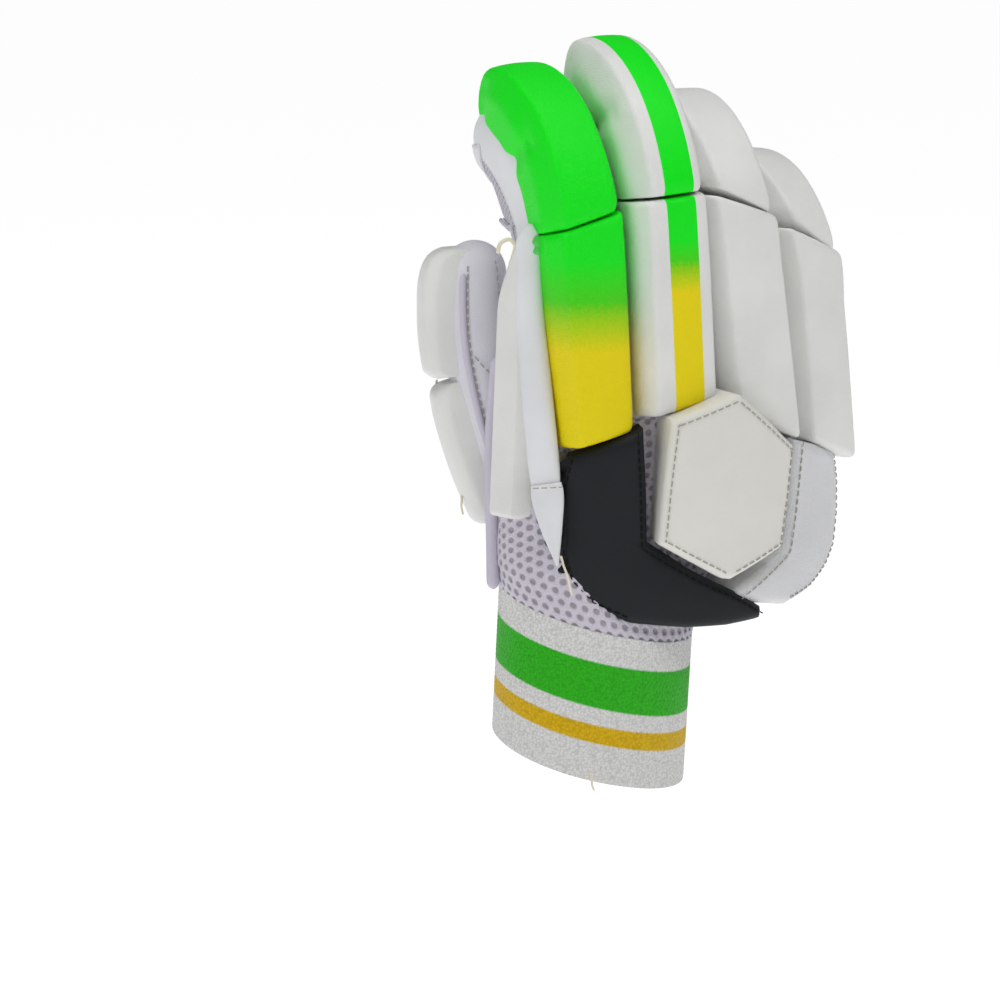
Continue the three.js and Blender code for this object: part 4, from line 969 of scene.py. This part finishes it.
def thumb_line(share):
    """Centre, scale, across, out and up of the thumb's middle line at shares of its length; the line is
    eased between the table's rows and the directions follow its slope."""
    share = np.asarray(share, float)

    def centre_at(s):
        return np.stack([eased(s, THUMB_TABLE["up"], THUMB_TABLE["side"]) * HAND_WIDTH,
                         eased(s, THUMB_TABLE["up"], THUMB_TABLE["depth"]) * HAND_DEPTH,
                         CUFF_LENGTH + s * THUMB_LENGTH], -1)

    up = unit(centre_at(share + 0.03) - centre_at(share - 0.03))
    toward = np.array([0.2, 1.0, 0.0])
    across = unit(toward - (up @ toward)[:, None] * up)
    scale = eased(share, THUMB_TABLE["up"], THUMB_TABLE["scale"])
    return centre_at(share), scale, across, np.cross(up, across), up


def thumb_surface(share, angle, grow=0.0):
    """Points of the thumb stall's skin: an oval on the middle line at each share, closed at the top."""
    over = np.clip((share - THUMB_TOP) / THUMB_CAP, 0, 1)
    centre, scale, across, out, up = thumb_line(np.minimum(share, THUMB_TOP))
    scale = scale * np.sqrt(1 - 0.995 * over ** 2.2)
    centre = centre + np.maximum(share - THUMB_TOP, 0)[:, None] * THUMB_LENGTH * up
    wide, deep = oval(angle, 0.88)
    return (centre[:, None]
            + ((scale * THUMB_WIDTH / 2 + grow)[:, None] * wide)[..., None] * across[:, None]
            + ((scale * THUMB_DEPTH / 2 + grow)[:, None] * deep)[..., None] * out[:, None])


thumb_finish = leather("lilac_thumb_leather", "#E3E2E9", grain=0.001, depth=0.3, roughness=0.55,
                       shade="#CBC9D3")
cap_share = THUMB_TOP + THUMB_CAP * np.sin(np.linspace(0, np.pi / 2, 14)[1:])
thumb_share = np.concatenate([np.linspace(0.12, THUMB_TOP, 60), cap_share])
for name, low, high, finish, slot, node in (
        ("thumb_leather_stall", 75, 285, thumb_finish, "palm_hide", "thumb_leather"),
        ("thumb_mesh_panel", -75, 75, tip_mesh_finish, "spacer_mesh", "thumb_mesh")):
    angle = np.radians(low) + np.radians(high - low) * np.linspace(0, 1, 60)
    points = thumb_surface(thumb_share, np.broadcast_to(angle, (len(thumb_share), 60)))
    marks = surface_lengths(points)
    dress(walled(name, points, finish, thumb_line([0.5])[0][0], SHELL_WALL, marks), slot, node)

PAD_END_SCALES = [0.05, 0.4, 0.75, 0.94]
THUMB_PAD_WIDTH, THUMB_PAD_HEIGHT = 0.0215, 0.009


def thumb_pad(name, share_from, share_to, finish):
    """A thumb pad's closed skin: a chamfered section on the thumb's outer side, rounded at both ends."""
    part, shrink = closing_rows(44, PAD_END_SCALES)
    centre, scale, across, out, up = thumb_line(share_from + (share_to - share_from) * part)
    surface = scale * THUMB_DEPTH / 2
    near = np.minimum(part, 1 - part) * (share_to - share_from) * THUMB_LENGTH
    knots = [0, 0.08, 0.5, 0.9, 1]
    half = THUMB_PAD_WIDTH / 2 * eased(part, knots, [0.95, 1, 1, 0.95, 0.88])
    high = surface + THUMB_PAD_HEIGHT * eased(part, knots, [0.95, 1, 1, 0.95, 0.85])
    high = high - edge_drop(near, 0.004)
    low = 0.3 * surface
    section = filleted(mirrored([
        (0 * half, low), (half, low), (half, high - 0.0042), (half - 0.0032, high),
        (0 * half, high + 0.0007),
    ]), [0.004, 0.002, 0.0016, 0.0022, 0.004, 0.0022, 0.0016, 0.002])
    section = resized(section, low, high, shrink[:, None])
    return grid_skin(name, centre[:, None] + section[..., :1] * across[:, None]
                     + section[..., 1:] * out[:, None],
                     finish)


for part_name, span in (("base", (0.26, 0.6)), ("tip", (0.615, 0.93))):
    piece = thumb_pad(f"thumb_{part_name}_cushion", *span, white_pad_leather)
    dress(piece, "white_leather", f"thumb_{part_name}_pad")


# Side bar: a long thin pad on the index finger's side, in white leather over foam.
BAR_LENGTH, BAR_WIDTH, BAR_THICKNESS = 0.106, 0.022, 0.008
part, shrink = closing_rows(70, PAD_END_SCALES)
bar_top = np.array([-0.21 * HAND_WIDTH - 0.002, 0.09 * HAND_DEPTH - 0.0045,
                    CUFF_LENGTH + 1.1 * HAND_LENGTH + 0.001])
bar_base = np.array([-0.237 * HAND_WIDTH - 0.003, 0.13 * HAND_DEPTH - 0.0060, bar_top[2] - BAR_LENGTH])
facing = math.radians(-66)
bar_across = np.array([math.cos(facing), math.sin(facing), 0])
bar_out = np.array([math.sin(facing), -math.cos(facing), 0])
centre = bar_top + (bar_base - bar_top) * part[:, None]
near = np.minimum(part, 1 - part) * BAR_LENGTH
taper = 0.0042 * eased(part, [0, 0.08, 0.25, 1], [1, 0.55, 0, 0])
half = BAR_WIDTH / 2 - taper
high, low, bevel = BAR_THICKNESS - edge_drop(near, 0.003), -BAR_THICKNESS * np.ones_like(part), 0.0040
section = filleted(mirrored([
    (0 * half, low), (half, low), (half, high - 1.6 * bevel), (half - 1.4 * bevel, high),
    (0 * half, high + 0.0003),
]), [0.004, 0.002, 0.0015, 0.0007, 0.004, 0.0007, 0.0015, 0.002])
section = resized(section, low, high, shrink[:, None])
section[..., 0] += taper[:, None]
bar = grid_skin("side_bar_cushion",
                centre[:, None] + section[..., :1] * bar_across + section[..., 1:] * bar_out,
                white_pad_leather)
dress(bar, "white_leather", "side_bar")


# Thumb's seams: a lilac towelling welt between the thumb and the palm, a piping beside the thumb's
# pads, rows of stitches over the leather, and the cream ends of thread left at the seams.
towel_finish = thread_finish("lilac_towelling_welt", "#CFCAD8")
seam_share = np.linspace(0.24, 0.9, 60)


def thumb_seam(turn, share=seam_share):
    """Points and outward normals on the thumb's skin at an angle in degrees, one or one per share."""
    angle = np.radians(turn) + np.zeros(len(share))
    points = thumb_surface(share, angle[:, None], 0.0004)[:, 0]
    return points, unit(points - thumb_line(share)[0])


piping = thumb_seam(148)[0]
dress(cord_run("thumb_pad_piping", piping[::4], 0.0015, towel_finish, (-0.9, -0.4, 0), 90), "spacer_mesh")
for name, turn, share in (("thumb_side_stitches", 156, seam_share),
                          ("thumb_front_stitches", 205, seam_share[20:]),
                          ("thumb_palm_stitches", 278, seam_share),
                          ("thumb_cross_stitches", np.linspace(160, 215, 30), np.linspace(0.66, 0.5, 30))):
    points, out = thumb_seam(turn, share)
    stitches(name, points, grey_thread, out, "palm_hide")
welt = cord_run("thumb_welt", [(-0.0325, 0.016, 0.160), (-0.0345, 0.016, 0.138), (-0.0362, 0.014, 0.116),
                               (-0.0378, 0.009, 0.092), (-0.0392, 0.005, 0.0700)], 0.0026, towel_finish,
                (-0.4, -0.9, 0))
dress(welt, "spacer_mesh")
LOOP_RADIUS, LOOSE_RADIUS = 0.0008, 0.00045
loose_threads = {
    "thumb_knot_thread": [(-0.0459, 0.045, 0.147), (-0.0470, 0.043, 0.1455), (-0.0462, 0.042, 0.1440)],
    "thumb_root_thread": [(-0.0416, 0.030, 0.103), (-0.0428, 0.028, 0.0993), (-0.0421, 0.028, 0.0954)],
    "guard_loose_thread": [(-0.0274, -0.032, 0.0904), (-0.0279, -0.035, 0.0880), (-0.0268, -0.037, 0.0832),
                           (-0.0252, -0.0355, 0.0790), (-0.0236, -0.034, 0.0752)],
    "hem_loose_thread": [(-0.0146, -0.033, 0.0030), (-0.0149, -0.0345, -0.001), (-0.0137, -0.034, -0.0042)],
    "bar_tie_loop": [(-0.0403, -0.002, 0.2030), (-0.0398, -0.003, 0.2068), (-0.0368, -0.004, 0.2085),
                     (-0.0340, -0.004, 0.2055), (-0.0349, -0.003, 0.2005)],
}
for name, points in loose_threads.items():
    radius = LOOP_RADIUS if "loop" in name else LOOSE_RADIUS
    dress(cord_run(name, points, radius, cream_thread), "white_leather")


# Index side: a soft white padded strip between the side bar and the index finger's pads, and below its
# seam a smooth gusset that narrows to a point beside the guard. A green knot of leather sits at the joint.
def side_form(name, points, half_width, half_height, facing, finish, square):
    """A soft strip along points, turned to face that way in degrees round the vertical. The tables give
    shares of its length, with its half width and half height there."""
    line, tangent = along_line(points, 70)
    angle = math.radians(facing)
    across = unit(np.cross(tangent, [math.sin(angle), -math.cos(angle), 0]))
    half_width, half_height = (eased(np.linspace(0, 1, 70), *table) for table in (half_width, half_height))
    return sweep(name, line, across, np.cross(across, tangent), half_width, half_height, finish, 28, square)


strip = side_form("index_side_strip",
                  [(-0.0297, -0.008, 0.2145), (-0.0301, -0.009, 0.1856), (-0.0288, -0.012, 0.1552),
                                       (-0.0273, -0.018, 0.1144)],
                  ([0, 0.04, 0.15, 0.9, 1], [0.001, 0.0045, 0.0050, 0.0062, 0.0058]),
                  ([0, 0.04, 0.15, 0.9, 1], [0.0008, 0.0028, 0.0036, 0.0036, 0.0014]), -42, band_finish,
                  0.8)
dress(strip, "white_leather")
gusset = side_form("index_gusset",
                   [(-0.0277, -0.019, 0.1158), (-0.0274, -0.023, 0.1006), (-0.0267, -0.0275, 0.0853)],
                   ([0, 0.1, 0.5, 1], [0.0062, 0.0066, 0.0046, 0.0004]),
                   ([0, 0.1, 0.5, 1], [0.0014, 0.0024, 0.0024, 0.0004]), -42, band_finish, 0.9)
dress(gusset, "white_leather")
stitches("gusset_stitches", [(-0.0345, -0.0205, 0.1150), (-0.0238, -0.0250, 0.1155)], grey_thread,
         (-0.67, -0.74, 0))
knot = side_form("index_joint_knot",
                 [(-0.0285, -0.012, 0.2105), (-0.0281, -0.0125, 0.2070), (-0.0276, -0.012, 0.2030)],
                 ([0, 0.3, 0.5, 0.8, 1], [0.0010, 0.0024, 0.0018, 0.0028, 0.0006]),
                 ([0, 0.3, 0.5, 0.8, 1], [0.0010, 0.0022, 0.0016, 0.0026, 0.0006]), -30,
                 leather("green_leather", "#10D523", coat=0.2), 1.0)
dress(knot, "green_leather")


# Cuff: a tube of towelling knit in white cotton and elastic, with a green and a yellow band knitted
# in. Its hem is folded in, and it leans with the wrist.
CUFF_WALL, CUFF_SQUARE = 0.0032, 0.95


def cuff_surface(share, angle, grow):
    """Points of the cuff: ovals along a leaning line, each slanted down towards the little finger."""
    wide, deep = oval(angle, CUFF_SQUARE)
    along = share * CUFF_LENGTH
    x = (CUFF_WIDTH / 2 + grow) * wide
    back = (CUFF_DEPTH / 2 + grow) * deep
    return np.stack(np.broadcast_arrays(along * CUFF_LEAN + x, -back,
                                        along - CUFF_SLOPE * x - CUFF_DROP * back), -1)


def knit_finish(name, colour):
    """Towelling knit: a matte cotton yarn in small moss stitches with a soft sheen, and two dyed bands. The
    colour darkens with painted shade between the loops.
    """
    material, tree = new_finish(name)
    place = add_node(tree, "ShaderNodeTexCoord").outputs["Object"]
    loops = add_node(tree, "ShaderNodeTexVoronoi", {"Scale": 950, "Randomness": 0.8}, {"Vector": place})
    # Painted shade: the yarn's colour darkens towards the edge of each loop cell, between the stitches; it is
    # multiplied in below.
    shade = add_node(tree, "ShaderNodeMapRange", {1: 0.1, 2: 0.8, 3: 0.0, 4: 0.5}, {0: loops.outputs[0]})
    base = add_node(tree, "ShaderNodeRGB").outputs[0]
    base.default_value = srgb(colour)
    base = blend_colour(tree, mark_mask(tree, "share", 0.50, 0.80, 0.012), base, "#35C21F")
    base = blend_colour(tree, mark_mask(tree, "share", 0.265, 0.385, 0.012), base, "#E9BE16")
    dark = add_node(tree, "ShaderNodeMix",
                    {"data_type": "RGBA", "blend_type": "MULTIPLY", 7: srgb("#A8A8A8")},
                    {0: shade.outputs[0], 6: base}).outputs[2]
    bump = add_node(tree, "ShaderNodeBump", {"Strength": 0.5, "Distance": 0.0005},
                    {"Height": loops.outputs[0]})
    shader = add_node(tree, "ShaderNodeBsdfPrincipled",
                      {"Roughness": 0.95, "Sheen Weight": 0.25, "Specular IOR Level": 0.1},
                      {"Base Color": dark, "Normal": bump.outputs[0]})
    add_node(tree, "ShaderNodeOutputMaterial", links={"Surface": shader.outputs[0]})
    return material


share = np.concatenate([np.linspace(0.01, 1, 120), np.linspace(0.99, 0.02, 12)])[:, None]
wall = np.concatenate([np.zeros(120), np.full(12, -CUFF_WALL)])[:, None]
turn = np.linspace(0, 2 * np.pi, 421)[:-1][None]
stitch = np.sin(turn * 110) * np.cos(share * CUFF_LENGTH / 0.0019 * np.pi)
knit_relief = np.where(wall == 0, 0.00018 * stitch, 0)
rows = cuff_surface(share, turn, wall + knit_relief)
rows = np.concatenate([cuff_surface(np.array([[0.0]]), turn, -0.0016 + 0 * turn), rows,
                       cuff_surface(np.array([[0.0]]), turn, -0.0018 + 0 * turn)])
cuff = grid_skin("knitted_cuff", rows, knit_finish("white_towelling_knit", "#EDEDEB"), close=(False, False),
                 inside=(0, 0, 0.03), marks={"share": np.concatenate([[[0.0]], share, [[0.0]]]) + 0 * turn})
dress(cuff, "cuff_knit", "cuff")


# Wrist strap: a smooth white tab over the palm side of the cuff, with a raised green patch and a thin
# yellow bar near its sewn end, a stitched border, and a folded anchor on the little finger's side.
STRAP_TABLE = dict(side=[-0.34, -0.3, -0.22, 0.62], low=[0.1, 0.1, 0.1, 0.12], high=[0.16, 0.42, 0.64, 0.9])
strap_finish = leather("white_coated_strap", "#E9EAEC", grain=0.0011, depth=0.2, roughness=0.4)


def strap_surface(turn, share, grow, table=STRAP_TABLE, inset=0.0):
    """Points over the cuff at angles round it and shares of the tab's height there. The table gives the
    tab's lower and upper edge, as shares of the cuff's length, at shares of its width."""
    wide, deep = oval(turn, CUFF_SQUARE)
    side = wide / 2
    low = np.interp(side, table["side"], table["low"]) + inset / CUFF_LENGTH
    high = np.interp(side, table["side"], table["high"]) - inset / CUFF_LENGTH
    height = low + (high - low) * share + CUFF_DROP * CUFF_DEPTH / 2 * deep / CUFF_LENGTH
    return cuff_surface(height, turn, grow)


def strap_form(name, turn_from, turn_to, grow, thickness, finish, table, slot, node):
    """A tab over the cuff: its face falls to its edges as a quarter circle, and it has a wall."""
    turn = np.linspace(turn_from, turn_to, 120)[None]
    share = (0.5 - 0.5 * np.cos(np.linspace(0, np.pi, 40)))[:, None]
    edge = np.minimum(np.minimum(share, 1 - share) * 0.036,
                      np.minimum(turn - turn_from, turn_to - turn) * 0.036)
    fall = np.sqrt(1 - np.clip(1 - edge / 0.0012, 0, 1) ** 2)
    points = strap_surface(turn, share, grow + thickness * (0.4 + 0.6 * fall), table)
    return dress(walled(name, points, finish, (0, 0, 0.03), thickness * 0.4), slot, node)


STRAP_LIFT, STRAP_WALL, PATCH_LIFT, PATCH_WALL = 0.0004, 0.0031, 0.0036, 0.0012
strap_start, strap_end = 2 * math.pi - math.acos(-0.66), 2 * math.pi - 0.08
green_table = dict(side=[0.2, 0.58], low=[0.42, 0.42], high=[0.74, 0.83])
yellow_table = dict(side=[0.26, 0.58], low=[0.25, 0.25], high=[0.35, 0.35])
green_patch = leather("green_raised_patch", "#2FC53A", depth=0.2, roughness=0.4, shade="#27AE33")
yellow_patch = leather("yellow_raised_bar", "#E8D41C", depth=0.2, roughness=0.4, shade="#D8C214")
strap_form("wrist_strap", strap_start, 2 * math.pi - 0.03, STRAP_LIFT, STRAP_WALL, strap_finish, STRAP_TABLE,
           "strap_vinyl", "strap")
strap_form("strap_green_patch", 2 * math.pi - math.acos(0.41), strap_end, PATCH_LIFT, PATCH_WALL, green_patch,
           green_table, "green_print", "strap_green_band")
strap_form("strap_yellow_bar", 2 * math.pi - math.acos(0.53), strap_end, PATCH_LIFT, PATCH_WALL, yellow_patch,
           yellow_table, "yellow_print", "strap_yellow_band")
border = np.linspace(strap_start + 0.05, strap_end, 90)
for name, share in (("strap_lower_stitches", 0.0), ("strap_upper_stitches", 1.0)):
    points = strap_surface(border, np.full(90, share), 0.0036, inset=0.003)
    stitches(name, points, grey_thread, unit(points * np.array([1, 1, 0])), "strap_vinyl")
anchor_points = [(side * HAND_WIDTH, 0.3 * HAND_DEPTH, CUFF_LENGTH + up * HAND_LENGTH)
                 for side, up in ((0.58, 0.3), (0.535, 0.2), (0.46, 0.1), (0.4, 0), (0.37, -0.1))]
anchor_line, anchor_tangent = along_line(anchor_points, 60)
anchor_out = unit(np.cross(np.array([0, 1.0, 0]), anchor_tangent))
end_fall = np.sqrt(1 - np.clip(1 - end_gaps(60) / 5, 0, 1) ** 2)
anchor = sweep("strap_anchor_fold", anchor_line, (0, 1, 0), anchor_out, 0.009 * (0.7 + 0.3 * end_fall),
               0.003 * (0.2 + 0.8 * end_fall), strap_finish, 32, 0.35)
dress(anchor, "strap_vinyl", "strap_anchor")
for side, offset in (("front", -0.0068), ("back", 0.0068)):
    points = anchor_line[4:-4] + [0, offset, 0] + 0.0031 * anchor_out[4:-4]
    stitches(f"anchor_stitches_{side}", points, grey_thread, anchor_out[4:-4], "strap_vinyl")
